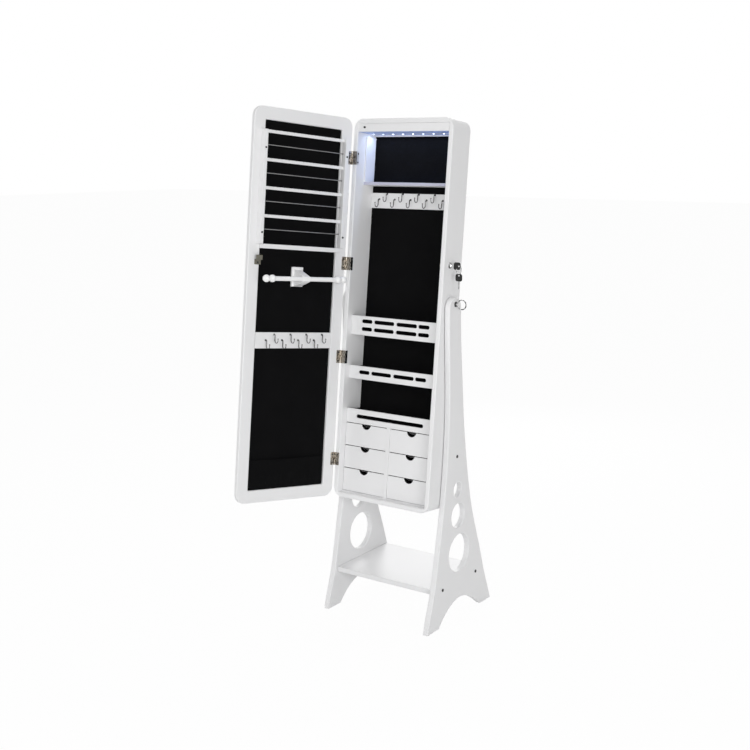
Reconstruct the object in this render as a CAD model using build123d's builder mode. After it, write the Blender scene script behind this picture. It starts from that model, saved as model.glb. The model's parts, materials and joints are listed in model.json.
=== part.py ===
from build123d import *
from math import cos, radians, sin
import os

os.makedirs("parts", exist_ok=True)

# All sizes are in millimetres. The row frame has +Z up, the armoire faces -Y, and the
# origin is under the middle of the whole box, with the door standing open.

# cabinet, in its own upright frame: x from its middle, y from its front, z from its bottom
cabinet_width = 350
cabinet_height = 1165
cabinet_depth = 101
wall = 15
outer_corner = 30
header_height = 39
header_setback = 1
back_thickness = 3
velvet = 1.5
tilt = 6.08

# stand, in its own frame: x from its middle, y from its front feet, z from the floor
side_gap = 2
panel_thickness = 18
pivot_y = 139.4
pivot_z = 991
panel_top_radius = 33
panel_front = [(0, 0), (32.4, 106), (58.7, 225), (82.1, 344.6), (99.4, 465), (113.6, 708)]
panel_rear = [(187.4, 756.5), (201, 620), (223, 480), (262, 322), (308.4, 200), (341.4, 106), (385.8, 0)]
panel_arch = [(65.5, 0), (122, 46), (187, 64.5), (252, 46), (320, 0)]
panel_holes = [(180.3, 213.1, 60), (171, 335, 38.8), (166.7, 419, 23.3)]
stand_shelf_top = 128.4
stand_shelf_thickness = 16
stand_shelf_y = (49, 327.3)
stretcher_y = 159.6
stretcher_z = 524.6
stretcher_thickness = 16
stretcher_height = 60
stand_screw_radius = 2.5
stand_screw_length = 45
stand_screw_head = (5, 1.5)
stand_screw_inset = (35, 43.7)
panel_top_straight = 13

# pivots, at the height of the stand's pivot axis
pivot_cabinet_y = 47
pivot_cabinet_z = 628
pivot_radius = 4
running_clearance = 0.05
washer_radius = 12
washer_play = 0.2
bolt_head = (9, 4)
plunger_housing = (8, 3.5)
plunger_reach = 11.5
ring_radius = 14
ring_wire = 1.7
ring_eye = 4.6
ring_bore_play = 1

# light bay at the top of the cabinet, measured down from the header
bay_height = 156
bay_board = 9
bay_side_thickness = 4
bay_side_y = 44
bay_side_drop = 11
bay_cleat = 5
earring_board_drop = 14
earring_board_thickness = 4
earring_pitch = 25.6
earring_margin = 12
earring_low = 2.5
earring_hole_radius = 0.8
led_pitch = 36
led_margin = 12
led_y = 60
led_size = (5, 1.4)
led_board_size = (8, 1)
led_board_margin = 8
switch_inset = 23
switch_rise = 13
switch_radius = 3
switch_travel = 1.5
switch_length = 8
switch_bore_depth = 12

# necklace hooks in the cabinet, on a strip below the light bay
strip_drop = (67, 20.6)
strip_thickness = 5
hook_pitch = 28.8
hook_margin = 25
hook_drops = (2.4, 18.9)
hook_wire = 1.3
hook_standoff = 6
hook_leg = 16
hook_bend = 8.5
hook_tip = 6

# shelves: bottom and top of each front lip, and the heights of its rows of slots
lip_y = 25
lip_thickness = 5
shelf_thickness = 6
upper_lip = (509.5, 569)
upper_slots = (553, 529)
middle_lip = (373, 414)
middle_slots = (395,)
case_lip = (234.5, 279)
slot_height = 11.5
slot_spans = [(-123, -83), (-77.5, -3), (4, 79), (83, 123)]
case_slot = [(-123, 123)]

# drawers, two columns of three
drawer_rows = 3
drawer_bottom = 20
drawer_gap = 2.2
divider_width = 13
drawer_front_thickness = 10
drawer_side = 6
drawer_base = 3
drawer_back_gap = 7.5
drawer_clearance = 1
drawer_setback = 1.5
drawer_side_drop = 16
runner_play = 0.2
notch_radius = 16.5
notch_depth = 14
runner_height = 5
runner_width = 5

# door, in its own frame: x from the hinge axis along the door, y into the cabinet, z up
door_open = 107.5
door_thickness = 15
door_gap = 4
door_rim = 38.5
hinge_overhang = 1
mirror_thickness = 3
inner_panel_thickness = 4
recess = 7

# hinges: two from the ends of the cabinet and two from the middle of its height
hinge_inset = 118
hinge_offset = 144
leaf_height = 40
leaf_width = 14
leaf_thickness = 1.2
pin_radius = 1
leaf_screw_radius = 1.4
leaf_screw_head = (2.8, 0.8)
leaf_screw_length = 11
leaf_screw_spread = 13
leaf_screw_inset = 8
return_depth = 10.5
return_screw_y = 6

# earring rack on the door, measured down from the cabinet's top
post_width = 12
post_reach = 20
post_inset = 24.5
rack_drop = (394, 67)
bar_height = 9
bar_thickness = 6
bar_pitch = 80.6
bar_count = 4
notch_pitch = 12.5
notch_margin = 10
notch_size = (2, 2.5)
rod_radius = 1.25
rod_drop = 43
rod_y = 7
divider_thickness = 13
post_screw_head = (3, 1.2)
post_screw_radius = 1.5
post_screw_depth = 9
post_screw_inset = (33, 52)

# bracelet bar on the door, below the divider
bracelet_drop = 83.5
bracelet_tilt = 0.9
bracelet_reach = 45
bracelet_bar_radius = 6.8
bracelet_bar_margin = 22.5
bead_radius = 11
bead_pitch = 20.2
bracket_size = (39, 58, 8)
bracket_rise = 4.5
bracket_root = (26, 50)
bracket_collar = 6

# door hooks, below the bracelet bar, and pocket
door_strip_drop = 162.5
door_strip_height = 47.5
door_hook_margin = 30
door_hook_drops = (6, 23)
pocket_top = 130
pocket_depth = 10
pocket_wall = 1.5
pocket_margin = 3

# lock on the cabinet's right side, and the keeper that its cam hooks behind
lock_y = 33
lock_drop = 425
lock_radius = 7.5
lock_flange = (9.5, 2)
lock_reach = 12
cylinder_radius = 5
cam_thickness = 2
cam_radius = 30
cam_nose = 8
keeper_inset = (43, 22)
keeper_drop = (30, 2)
keeper_offset = 10
keeper_plate_thickness = 1.5
keeper_screw_radius = 1.5
keeper_screw_head = (3, 1)
keeper_screw_depth = 9
keeper_screw_rise = 6
key_head = (22, 22, 2.5)
key_neck = 10
key_hole_radius = 3
key_hole_inset = 4.5
key_corner = 5
key_blade = (6.8, 2)
key_insertion = 18
spare_blade = 24
keyway = (2.2, 7.2, 20)
key_ring_radius = 13.5
key_ring_wire = 0.8
key_ring_play = 0.5

# sizes that follow
half_width = cabinet_width / 2
inner_half = half_width - wall
back_y = cabinet_depth - back_thickness
velvet_y = back_y - velvet
header_z = cabinet_height - header_height
stand_inner = half_width + side_gap
stand_outer = stand_inner + panel_thickness
stand_depth = panel_rear[-1][0]
hinge_x = -half_width - hinge_overhang
hinge_y = -door_gap / 2
door_inner = -door_gap / 2
hinge_heights = (hinge_inset, cabinet_height / 2 - hinge_offset, cabinet_height / 2 + hinge_offset,
                 cabinet_height - hinge_inset)
knuckle_radius = door_gap / 2
bay_bottom = header_z - bay_height
switch_x = switch_inset - inner_half
switch_z = header_z + switch_rise
strip_z = (bay_bottom - strip_drop[0], bay_bottom - strip_drop[1])
rack_z = (cabinet_height - rack_drop[0], cabinet_height - rack_drop[1])
divider_z = (rack_z[0] - divider_thickness, rack_z[0])
bracelet_z = divider_z[0] - bracelet_drop
door_strip_top = bracelet_z - door_strip_drop
lock_z = cabinet_height - lock_drop
keeper_z = (lock_z - keeper_drop[0], lock_z - keeper_drop[1])


def count_along(length, margin, pitch):
    """How many places at a pitch fit along a length with a margin at each end"""
    return int((length - 2 * margin) // pitch) + 1


def in_stand(y, z):
    """y and z in the stand's frame of a point given in the tilted cabinet's frame"""
    rise = z - pivot_cabinet_z
    run = y - pivot_cabinet_y
    return (pivot_y + run * cos(radians(tilt)) + rise * sin(radians(tilt)),
            pivot_z - run * sin(radians(tilt)) + rise * cos(radians(tilt)))


# the open door's free edge is the front and the left of the box, the pull ring its right
free_edge = hinge_overhang + cabinet_width
door_outer = door_inner - door_thickness
reach_x = hinge_x + free_edge * cos(radians(door_open)) + door_outer * sin(radians(door_open))
reach_y = hinge_y - free_edge * sin(radians(door_open)) + door_inner * cos(radians(door_open))
ring_centre_x = stand_outer + plunger_reach - ring_eye + ring_radius
origin_x = (reach_x + ring_centre_x + ring_radius + ring_wire) / 2
origin_y = (in_stand(reach_y, 0)[0] + stand_depth) / 2

stand_place = Location((-origin_x, -origin_y, 0))
cabinet_place = (stand_place * Location((0, pivot_y, pivot_z), (-tilt, 0, 0))
                 * Location((0, -pivot_cabinet_y, -pivot_cabinet_z)))
door_place = cabinet_place * Location((hinge_x, hinge_y, 0), (0, 0, -door_open))
ring_place = (cabinet_place * Location((0, lock_y, lock_z), (tilt, 0, 0))
              * Location((0, -lock_y, -lock_z)))


def write(name, place, *pieces):
    """Set one or more finished pieces in their place and write them as one node"""
    node = pieces[0]
    if len(pieces) > 1:
        solids = [solid for piece in pieces for solid in piece.part.solids()]
        node.part = Compound(solids)
    node.part = place * node.part
    node.part.label = name
    export_step(node.part, f"parts/{name}.step")


def block(x, y, z, mode=Mode.ADD):
    """A box between two values on each axis"""
    with Locations(((x[0] + x[1]) / 2, (y[0] + y[1]) / 2, (z[0] + z[1]) / 2)):
        Box(x[1] - x[0], y[1] - y[0], z[1] - z[0], mode=mode)


def rod(start, direction, radius, length, mode=Mode.ADD):
    """A round rod from a point along a direction"""
    with Locations(Plane(origin=start, z_dir=direction)):
        Cylinder(radius, length, align=(Align.CENTER, Align.CENTER, Align.MIN), mode=mode)


# ---------------------------------------------------------------- stand

stand_screws = [(stand_shelf_y[0] + stand_screw_inset[0], stand_shelf_top - stand_shelf_thickness / 2),
                (stand_shelf_y[1] - stand_screw_inset[1], stand_shelf_top - stand_shelf_thickness / 2),
                (stretcher_y, stretcher_z)]


def stand_panel(side):
    """Side panel: curved edges, a round top about the pivot, an arched foot and three holes"""
    top_z = pivot_z - panel_top_straight
    front_top = (pivot_y - panel_top_radius, top_z)
    rear_top = (pivot_y + panel_top_radius, top_z)
    with BuildPart() as panel:
        with BuildSketch(Plane.YZ.offset(side * stand_inner)):
            with BuildLine():
                Spline(*panel_front, front_top, tangents=[(0.2, 1), (0, 1)])
                ThreePointArc(front_top, (pivot_y, top_z + panel_top_radius), rear_top)
                Spline(rear_top, *panel_rear, tangents=[(0, -1), (0.4, -1)])
                Line(panel_rear[-1], panel_arch[-1])
                Spline(*panel_arch[::-1])
                Line(panel_arch[0], panel_front[0])
            make_face()
            for y, z, radius in panel_holes:
                with Locations((y, z)):
                    Circle(radius, mode=Mode.SUBTRACT)
            for y, z in stand_screws:
                with Locations((y, z)):
                    Circle(stand_screw_radius + running_clearance, mode=Mode.SUBTRACT)
            with Locations((pivot_y, pivot_z)):
                Circle(pivot_radius + running_clearance, mode=Mode.SUBTRACT)
        extrude(amount=side * panel_thickness)
    return panel


def drill_stand_screws(y, z):
    """Blind holes in both ends of a board for the screws that come through the panels"""
    for side in (-1, 1):
        rod((side * stand_inner, y, z), (-side, 0, 0), stand_screw_radius + running_clearance,
            stand_screw_length - panel_thickness + 1, Mode.SUBTRACT)


write("left_stand_panel", stand_place, stand_panel(-1))
write("right_stand_panel", stand_place, stand_panel(1))

with BuildPart() as stand_shelf:
    block((-stand_inner, stand_inner), stand_shelf_y,
          (stand_shelf_top - stand_shelf_thickness, stand_shelf_top))
    for screw in stand_screws[:2]:
        drill_stand_screws(*screw)
write("stand_shelf", stand_place, stand_shelf)

with BuildPart() as rear_stretcher:
    block((-stand_inner, stand_inner),
          (stretcher_y - stretcher_thickness / 2, stretcher_y + stretcher_thickness / 2),
          (stretcher_z - stretcher_height / 2, stretcher_z + stretcher_height / 2))
    drill_stand_screws(*stand_screws[2])
write("rear_stretcher", stand_place, rear_stretcher)

with BuildPart() as screws:
    for side in (-1, 1):
        for y, z in stand_screws:
            rod((side * stand_outer, y, z), (side, 0, 0), *stand_screw_head)
            rod((side * stand_outer, y, z), (-side, 0, 0), stand_screw_radius, stand_screw_length)
write("stand_screws", stand_place, screws)

pivot_length = panel_thickness + side_gap + wall - 1
with BuildPart() as left_pivot_bolt:
    rod((-stand_outer, pivot_y, pivot_z), (-1, 0, 0), *bolt_head)
    rod((-stand_outer, pivot_y, pivot_z), (1, 0, 0), pivot_radius, pivot_length)
write("left_pivot_bolt", stand_place, left_pivot_bolt)

with BuildPart() as pin_housing:
    rod((stand_outer, pivot_y, pivot_z), (1, 0, 0), *plunger_housing)
    rod((stand_outer, pivot_y, pivot_z), (1, 0, 0), pivot_radius + running_clearance,
        plunger_housing[1], Mode.SUBTRACT)
write("pin_housing", stand_place, pin_housing)

eye_x = ring_centre_x - ring_radius
with BuildPart() as pivot_pin:
    rod((stand_outer - pivot_length, pivot_y, pivot_z), (1, 0, 0), pivot_radius,
        pivot_length + plunger_reach)
    rod((eye_x, pivot_y, pivot_z - pivot_radius), (0, 0, 1), ring_wire + ring_bore_play,
        2 * pivot_radius, Mode.SUBTRACT)
write("pivot_pin", stand_place, pivot_pin)

with BuildPart() as pull_ring:
    with BuildSketch(Plane.XY.offset(pivot_z)):
        with Locations((eye_x, pivot_y)):
            Circle(ring_wire)
    revolve(axis=Axis((ring_centre_x, pivot_y, pivot_z), (0, 1, 0)), revolution_arc=360)
write("pull_ring", stand_place, pull_ring)

with BuildPart() as pivot_washers:
    for side in (-1, 1):
        rod((side * half_width, pivot_cabinet_y, pivot_cabinet_z), (side, 0, 0), washer_radius,
            side_gap - washer_play)
        rod((side * half_width, pivot_cabinet_y, pivot_cabinet_z), (side, 0, 0),
            pivot_radius + running_clearance, side_gap, Mode.SUBTRACT)
write("pivot_washers", cabinet_place, pivot_washers)

# ---------------------------------------------------------------- cabinet shell


def screw_heights(z):
    """Heights of a hinge leaf's two screws"""
    return (z - leaf_screw_spread, z + leaf_screw_spread)


leaf_screw_x = -half_width + leaf_screw_inset
returned_hinges = hinge_heights[1:]


def side_wall(side):
    """One side of the cabinet, between the rounded corners, with its bores"""
    with BuildPart() as side_piece:
        block(sorted((side * inner_half, side * half_width)), (0, cabinet_depth),
              (outer_corner, cabinet_height - outer_corner))
        rod((side * half_width, pivot_cabinet_y, pivot_cabinet_z), (-side, 0, 0),
            pivot_radius + running_clearance, wall, Mode.SUBTRACT)
        if side > 0:
            rod((half_width, lock_y, lock_z), (-1, 0, 0), lock_radius + running_clearance, wall,
                Mode.SUBTRACT)
        else:
            for height in hinge_heights:
                for z in screw_heights(height):
                    place, into = (leaf_screw_x, 0, z), (0, 1, 0)
                    if height in returned_hinges:
                        place, into = (-inner_half, return_screw_y, z), (-1, 0, 0)
                    rod(place, into, leaf_screw_radius + running_clearance, leaf_screw_length,
                        Mode.SUBTRACT)
    return side_piece


def end_cap(end):
    """Top (end 1) or bottom (end -1) of the cabinet, with its two rounded corners"""
    far = cabinet_height if end > 0 else 0
    with BuildPart() as cap:
        with BuildSketch(Plane.XZ):
            with BuildLine():
                Polyline((-inner_half, far - end * outer_corner), (-inner_half, far - end * wall),
                         (inner_half, far - end * wall), (inner_half, far - end * outer_corner),
                         (half_width, far - end * outer_corner))
                ThreePointArc((half_width, far - end * outer_corner),
                              (half_width - outer_corner * (1 - cos(radians(45))),
                               far - end * outer_corner * (1 - cos(radians(45)))),
                              (half_width - outer_corner, far))
                Line((half_width - outer_corner, far), (outer_corner - half_width, far))
                ThreePointArc((outer_corner - half_width, far),
                              (outer_corner * (1 - cos(radians(45))) - half_width,
                               far - end * outer_corner * (1 - cos(radians(45)))),
                              (-half_width, far - end * outer_corner))
                Line((-half_width, far - end * outer_corner),
                     (-inner_half, far - end * outer_corner))
            make_face()
        extrude(amount=-cabinet_depth)
    return cap


write("cabinet_frame", cabinet_place, side_wall(-1), side_wall(1), end_cap(1), end_cap(-1))

with BuildPart() as header_board:
    block((-inner_half, inner_half), (header_setback, back_y), (header_z, cabinet_height - wall))
    rod((switch_x, 0, switch_z), (0, 1, 0), switch_radius + running_clearance,
        switch_bore_depth, Mode.SUBTRACT)
write("header_board", cabinet_place, header_board)

with BuildPart() as back_panel:
    block((-inner_half, inner_half), (back_y, cabinet_depth), (wall, cabinet_height - wall))
write("back_panel", cabinet_place, back_panel)

with BuildPart() as velvet_back:
    block((-inner_half, inner_half), (velvet_y, back_y), (case_lip[0], header_z))
write("velvet_back", cabinet_place, velvet_back)

# ---------------------------------------------------------------- light bay

with BuildPart() as bay_floor:
    block((-inner_half, inner_half), (bay_side_y, velvet_y), (bay_bottom, bay_bottom + bay_board))
with BuildPart() as bay_sides:
    for side in (-1, 1):
        block(sorted((side * (inner_half - bay_side_thickness), side * inner_half)),
              (bay_side_y, velvet_y), (bay_bottom + bay_board, header_z - bay_side_drop))
with BuildPart() as bay_cleat_piece:
    block((-inner_half, inner_half), (velvet_y - bay_cleat, velvet_y),
          (header_z - bay_cleat, header_z))
write("light_bay_boards", cabinet_place, bay_floor, bay_sides, bay_cleat_piece)

earring_x = inner_half - bay_side_thickness
earring_z = (bay_bottom + bay_board, header_z - earring_board_drop)
earring_columns = count_along(2 * earring_x, earring_margin, earring_pitch)
earring_rows = count_along(earring_z[1] - earring_z[0], earring_margin, earring_pitch)
with BuildPart() as earring_panel:
    block((-earring_x, earring_x), (velvet_y - earring_board_thickness, velvet_y), earring_z)
    with Locations(Plane(origin=(0, velvet_y - earring_board_thickness,
                                 sum(earring_z) / 2 - earring_low),
                         x_dir=(1, 0, 0), z_dir=(0, -1, 0))):
        with GridLocations(earring_pitch, earring_pitch, earring_columns, earring_rows):
            Hole(earring_hole_radius, depth=earring_board_thickness / 2)
write("earring_panel", cabinet_place, earring_panel)

led_count = count_along(2 * inner_half, led_margin, led_pitch)
led_span = led_pitch * (led_count - 1)
with BuildPart() as led_board:
    block((-led_span / 2 - led_board_margin, led_span / 2 + led_board_margin),
          (led_y - led_board_size[0] / 2, led_y + led_board_size[0] / 2),
          (header_z - led_board_size[1], header_z))
with BuildPart() as leds:
    for index in range(led_count):
        x = index * led_pitch - led_span / 2
        block((x - led_size[0] / 2, x + led_size[0] / 2),
              (led_y - led_size[0] / 2, led_y + led_size[0] / 2),
              (header_z - led_board_size[1] - led_size[1], header_z - led_board_size[1]))
write("light_strip", cabinet_place, led_board, leds)

with BuildPart() as light_switch:
    rod((switch_x, -switch_travel, switch_z), (0, 1, 0), switch_radius, switch_length)
write("light_switch", cabinet_place, light_switch)

# ---------------------------------------------------------------- hooks


def hooks(face_y, places):
    """Cup hooks on a strip: shank, leg, round bend and tip; each place is (x, z of the shank)"""
    towards = -1 if face_y > 0 else 1
    leg_y = face_y + towards * hook_standoff
    tip_y = leg_y + towards * 2 * hook_bend
    with BuildPart() as row:
        for x, z in places:
            low = z - hook_leg
            with BuildLine(Plane.YZ.offset(x)) as path:
                FilletPolyline((face_y, z), (leg_y, z), (leg_y, low), radius=hook_standoff / 2)
                ThreePointArc((leg_y, low), (leg_y + towards * hook_bend, low - hook_bend),
                              (tip_y, low))
                Line((tip_y, low), (tip_y, low + hook_tip))
            with BuildSketch(Plane(origin=(x, face_y, z), z_dir=(0, towards, 0))):
                Circle(hook_wire)
            sweep(path=path.wires()[0])
    return row


with BuildPart() as hook_strip:
    block((-inner_half, inner_half), (velvet_y - strip_thickness, velvet_y), strip_z)
write("hook_strip", cabinet_place, hook_strip)

strip_front = velvet_y - strip_thickness
hook_count = count_along(2 * inner_half, hook_margin, hook_pitch)
cabinet_hooks = [((index - (hook_count - 1) / 2) * hook_pitch,
                  strip_z[1] - hook_drops[0 if index % 2 else 1]) for index in range(hook_count)]
write("necklace_hooks", cabinet_place, hooks(strip_front, cabinet_hooks))

# ---------------------------------------------------------------- shelves


def shelf(name, lip, slot_rows, spans):
    """A shelf board with a slotted lip along its front"""
    with BuildPart() as board:
        block((-inner_half, inner_half), (lip_y + lip_thickness, velvet_y),
              (lip[0], lip[0] + shelf_thickness))
    with BuildPart() as front_lip:
        block((-inner_half, inner_half), (lip_y, lip_y + lip_thickness), lip)
        with BuildSketch(Plane.XZ.offset(-lip_y)):
            for z in slot_rows:
                for start, end in spans:
                    with Locations(((start + end) / 2, z)):
                        SlotOverall(end - start, slot_height)
        extrude(amount=-lip_thickness, mode=Mode.SUBTRACT)
    write(f"{name}_board", cabinet_place, board)
    write(f"{name}_lip", cabinet_place, front_lip)


shelf("upper_shelf", upper_lip, upper_slots, slot_spans)
shelf("middle_shelf", middle_lip, middle_slots, slot_spans)
shelf("drawer_case", case_lip, (sum(case_lip) / 2,), case_slot)

# ---------------------------------------------------------------- drawers

with BuildPart() as drawer_divider:
    block((-divider_width / 2, divider_width / 2), (lip_y, back_y), (wall, case_lip[0]))
write("drawer_divider", cabinet_place, drawer_divider)

drawer_pitch = (case_lip[0] - drawer_bottom) / drawer_rows
drawer_near = divider_width / 2 + drawer_clearance
drawer_far = inner_half - drawer_clearance
with BuildPart() as bottom_rail:
    for side in (-1, 1):
        block(sorted((side * divider_width / 2, side * inner_half)),
              (lip_y, lip_y + drawer_front_thickness), (wall, drawer_bottom - drawer_gap))
with BuildPart() as drawer_runners:
    for side in (-1, 1):
        for row in range(drawer_rows):
            top = drawer_bottom + row * drawer_pitch + runner_height
            for x in ((divider_width / 2, divider_width / 2 + runner_width),
                      (inner_half - runner_width, inner_half)):
                block(sorted((side * x[0], side * x[1])),
                      (lip_y + drawer_front_thickness + 4, back_y), (top - runner_height, top))
write("drawer_runners", cabinet_place, bottom_rail, drawer_runners)


def drawer(side, row):
    """A drawer: notched front, two sides, back and base, riding on its runners"""
    x = sorted((side * drawer_near, side * drawer_far))
    z = (drawer_bottom + row * drawer_pitch, drawer_bottom + (row + 1) * drawer_pitch - drawer_gap)
    box_x = (x[0] + 1, x[1] - 1)
    base_z = z[0] + runner_height + runner_play
    box_top = z[1] - drawer_side_drop
    front_y = lip_y + drawer_setback
    tray_y = (front_y + drawer_front_thickness, back_y - drawer_back_gap)
    with BuildPart() as front:
        block(x, (front_y, tray_y[0]), z)
        with BuildSketch(Plane.XZ.offset(-front_y)):
            with Locations((sum(x) / 2, z[1] + notch_radius - notch_depth)):
                Circle(notch_radius)
        extrude(amount=-drawer_front_thickness, mode=Mode.SUBTRACT)
    with BuildPart() as base:
        block(box_x, tray_y, (base_z, base_z + drawer_base))
    with BuildPart() as sides:
        for near in (box_x[0], box_x[1] - drawer_side):
            block((near, near + drawer_side), tray_y, (base_z + drawer_base, box_top))
    with BuildPart() as back:
        block((box_x[0] + drawer_side, box_x[1] - drawer_side),
              (tray_y[1] - drawer_side, tray_y[1]), (base_z + drawer_base, box_top))
    return front, base, sides, back


for row, row_name in enumerate(("bottom", "middle", "top")):
    for side, side_name in ((-1, "left"), (1, "right")):
        write(f"drawer_{row_name}_{side_name}", cabinet_place, *drawer(side, row))

# ---------------------------------------------------------------- hinges


return_x = -inner_half - hinge_x


def hinge_leaves(cabinet_side):
    """Four hinge leaves with their knuckles; three cabinet leaves return onto the inner wall"""
    with BuildPart() as leaves:
        for height in hinge_heights:
            low = height - leaf_height / 2
            thickness = (-leaf_thickness, 0) if cabinet_side else (0, leaf_thickness)
            base = -hinge_y if cabinet_side else door_inner
            block((0, hinge_overhang + leaf_width), (base + thickness[0], base + thickness[1]),
                  (low, low + leaf_height))
            returned = cabinet_side and height in returned_hinges
            if returned:
                block((0, return_x + leaf_thickness), (base - leaf_thickness, base),
                      (low, low + leaf_height))
                block((return_x, return_x + leaf_thickness), (base, base + return_depth),
                      (low, low + leaf_height))
                for z in screw_heights(height):
                    rod((return_x, base + return_screw_y, z), (1, 0, 0),
                        leaf_screw_radius + running_clearance, leaf_thickness, Mode.SUBTRACT)
            knuckles = leaf_height / 5
            for index in range(5):
                mine = index % 2 == (0 if cabinet_side else 1)
                start = low + index * knuckles
                if mine:
                    rod((0, 0, start + 0.1), (0, 0, 1), knuckle_radius, knuckles - 0.2)
                else:
                    block((-knuckle_radius, knuckle_radius + 0.2), (-knuckle_radius, knuckle_radius),
                          (start - 0.1, start + knuckles + 0.1), Mode.SUBTRACT)
            rod((0, 0, low), (0, 0, 1), pin_radius + running_clearance, leaf_height, Mode.SUBTRACT)
            for z in () if returned else screw_heights(height):
                rod((leaf_screw_x - hinge_x, -knuckle_radius, z), (0, 1, 0),
                    leaf_screw_radius + running_clearance, 2 * knuckle_radius, Mode.SUBTRACT)
    return leaves


def leaf_screws(cabinet_side):
    """Screws of the four leaves, driven into the cabinet or into the door"""
    face = (-hinge_y - leaf_thickness) if cabinet_side else (door_inner + leaf_thickness)
    with BuildPart() as screws:
        for height in hinge_heights:
            for z in screw_heights(height):
                place = (leaf_screw_x - hinge_x, face, z)
                out = (0, -1 if cabinet_side else 1, 0)
                if cabinet_side and height in returned_hinges:
                    place = (return_x + leaf_thickness, -hinge_y + return_screw_y, z)
                    out = (1, 0, 0)
                rod(place, out, *leaf_screw_head)
                rod(place, tuple(-step for step in out), leaf_screw_radius, leaf_screw_length)
    return screws


hinge_place = cabinet_place * Location((hinge_x, hinge_y, 0))
write("cabinet_hinge_leaves", hinge_place, hinge_leaves(True))
write("cabinet_hinge_screws", hinge_place, leaf_screws(True))
write("door_hinge_leaves", door_place, hinge_leaves(False))

with BuildPart() as hinge_pins:
    for height in hinge_heights:
        rod((0, 0, height - leaf_height / 2), (0, 0, 1), pin_radius, leaf_height)
write("hinge_pins", hinge_place, hinge_pins)

# ---------------------------------------------------------------- door frame

u0 = hinge_overhang
u1 = hinge_overhang + cabinet_width
opening_u = (u0 + door_rim, u1 - door_rim)
opening_z = (door_rim, cabinet_height - door_rim)
frame_y = (door_inner - door_thickness, door_inner)
post_u = (u0 + post_inset, u1 - post_inset - post_width)
post_screw_z = (rack_z[0] + post_screw_inset[0], rack_z[1] - post_screw_inset[1])
door_leaf_u = leaf_screw_x - hinge_x
keeper_u = (u1 - keeper_inset[0], u1 - keeper_inset[1])
keeper_screw = (sum(keeper_u) / 2, keeper_z[0] + keeper_screw_rise)


def door_stile(u, screws):
    """One upright of the door frame, with blind holes (u, z, radius, depth) on its inner face"""
    with BuildPart() as stile:
        block(u, frame_y, (outer_corner, cabinet_height - outer_corner))
        for hole_u, z, radius, depth in screws:
            rod((hole_u, door_inner, z), (0, -1, 0), radius + running_clearance, depth,
                Mode.SUBTRACT)
    return stile


def door_rail(end):
    """Top (end 1) or bottom (end -1) rail of the door frame, with its rounded corners"""
    far = cabinet_height if end > 0 else 0
    near = far - end * door_rim
    stile_end = far - end * outer_corner
    with BuildPart() as rail:
        block((u0, u1), frame_y, sorted((far, stile_end)))
        corners = rail.edges().filter_by(Axis.Y).group_by(Axis.Z)[-1 if end > 0 else 0]
        fillet(corners, outer_corner - 0.01)
        block(opening_u, frame_y, sorted((near, stile_end)))
    return rail


leaf_holes = [(door_leaf_u, z, leaf_screw_radius, leaf_screw_length - leaf_thickness + 0.5)
              for height in hinge_heights for z in screw_heights(height)]
post_holes = [[(u + post_width / 2, z, post_screw_radius, post_screw_depth + 1)
               for z in post_screw_z] for u in post_u]
keeper_hole = (*keeper_screw, keeper_screw_radius, keeper_screw_depth)
hinge_stile = door_stile((u0, opening_u[0]), leaf_holes + post_holes[0])
free_stile = door_stile((opening_u[1], u1), post_holes[1] + [keeper_hole])
write("door_frame", door_place, hinge_stile, free_stile, door_rail(1), door_rail(-1))

panel_y = door_inner - recess
with BuildPart() as door_panel:
    block(opening_u, (panel_y - inner_panel_thickness, panel_y), opening_z)
write("door_inner_panel", door_place, door_panel)

with BuildPart() as door_mirror:
    block(opening_u, (panel_y - inner_panel_thickness - mirror_thickness,
                      panel_y - inner_panel_thickness), opening_z)
write("door_mirror", door_place, door_mirror)

# ---------------------------------------------------------------- earring rack

with BuildPart() as rack_posts:
    for index, u in enumerate(post_u):
        block((u, u + post_width), (door_inner, door_inner + post_reach), rack_z)
        for z in post_screw_z:
            rod((u + post_width / 2, door_inner, z), (0, 1, 0),
                post_screw_radius + running_clearance, post_reach, Mode.SUBTRACT)
write("rack_posts", door_place, rack_posts)

bar_u = (post_u[0] + post_width, post_u[1])
bar_tops = [rack_z[1] - index * bar_pitch for index in range(bar_count)]
notch_count = int((bar_u[1] - bar_u[0] - 2 * notch_margin) // notch_pitch)
bar_back = door_inner + rod_y - bar_thickness / 2
with BuildPart() as rack_bars:
    for top in bar_tops:
        block(bar_u, (bar_back, bar_back + bar_thickness), (top - bar_height, top))
        with Locations(Plane(origin=((bar_u[0] + bar_u[1]) / 2, bar_back + bar_thickness / 2, top))):
            with GridLocations(notch_pitch, 1, notch_count, 1):
                Box(notch_size[0], bar_thickness + 1, 2 * notch_size[1], mode=Mode.SUBTRACT)
write("rack_bars", door_place, rack_bars)

with BuildPart() as rack_rods:
    for top in bar_tops:
        rod((bar_u[0], door_inner + rod_y, top - rod_drop), (1, 0, 0), rod_radius,
            bar_u[1] - bar_u[0])
write("rack_rods", door_place, rack_rods)

with BuildPart() as door_divider:
    block(opening_u, (panel_y, door_inner + post_reach - 2), divider_z)
write("door_divider", door_place, door_divider)

# ---------------------------------------------------------------- bracelet bar

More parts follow.
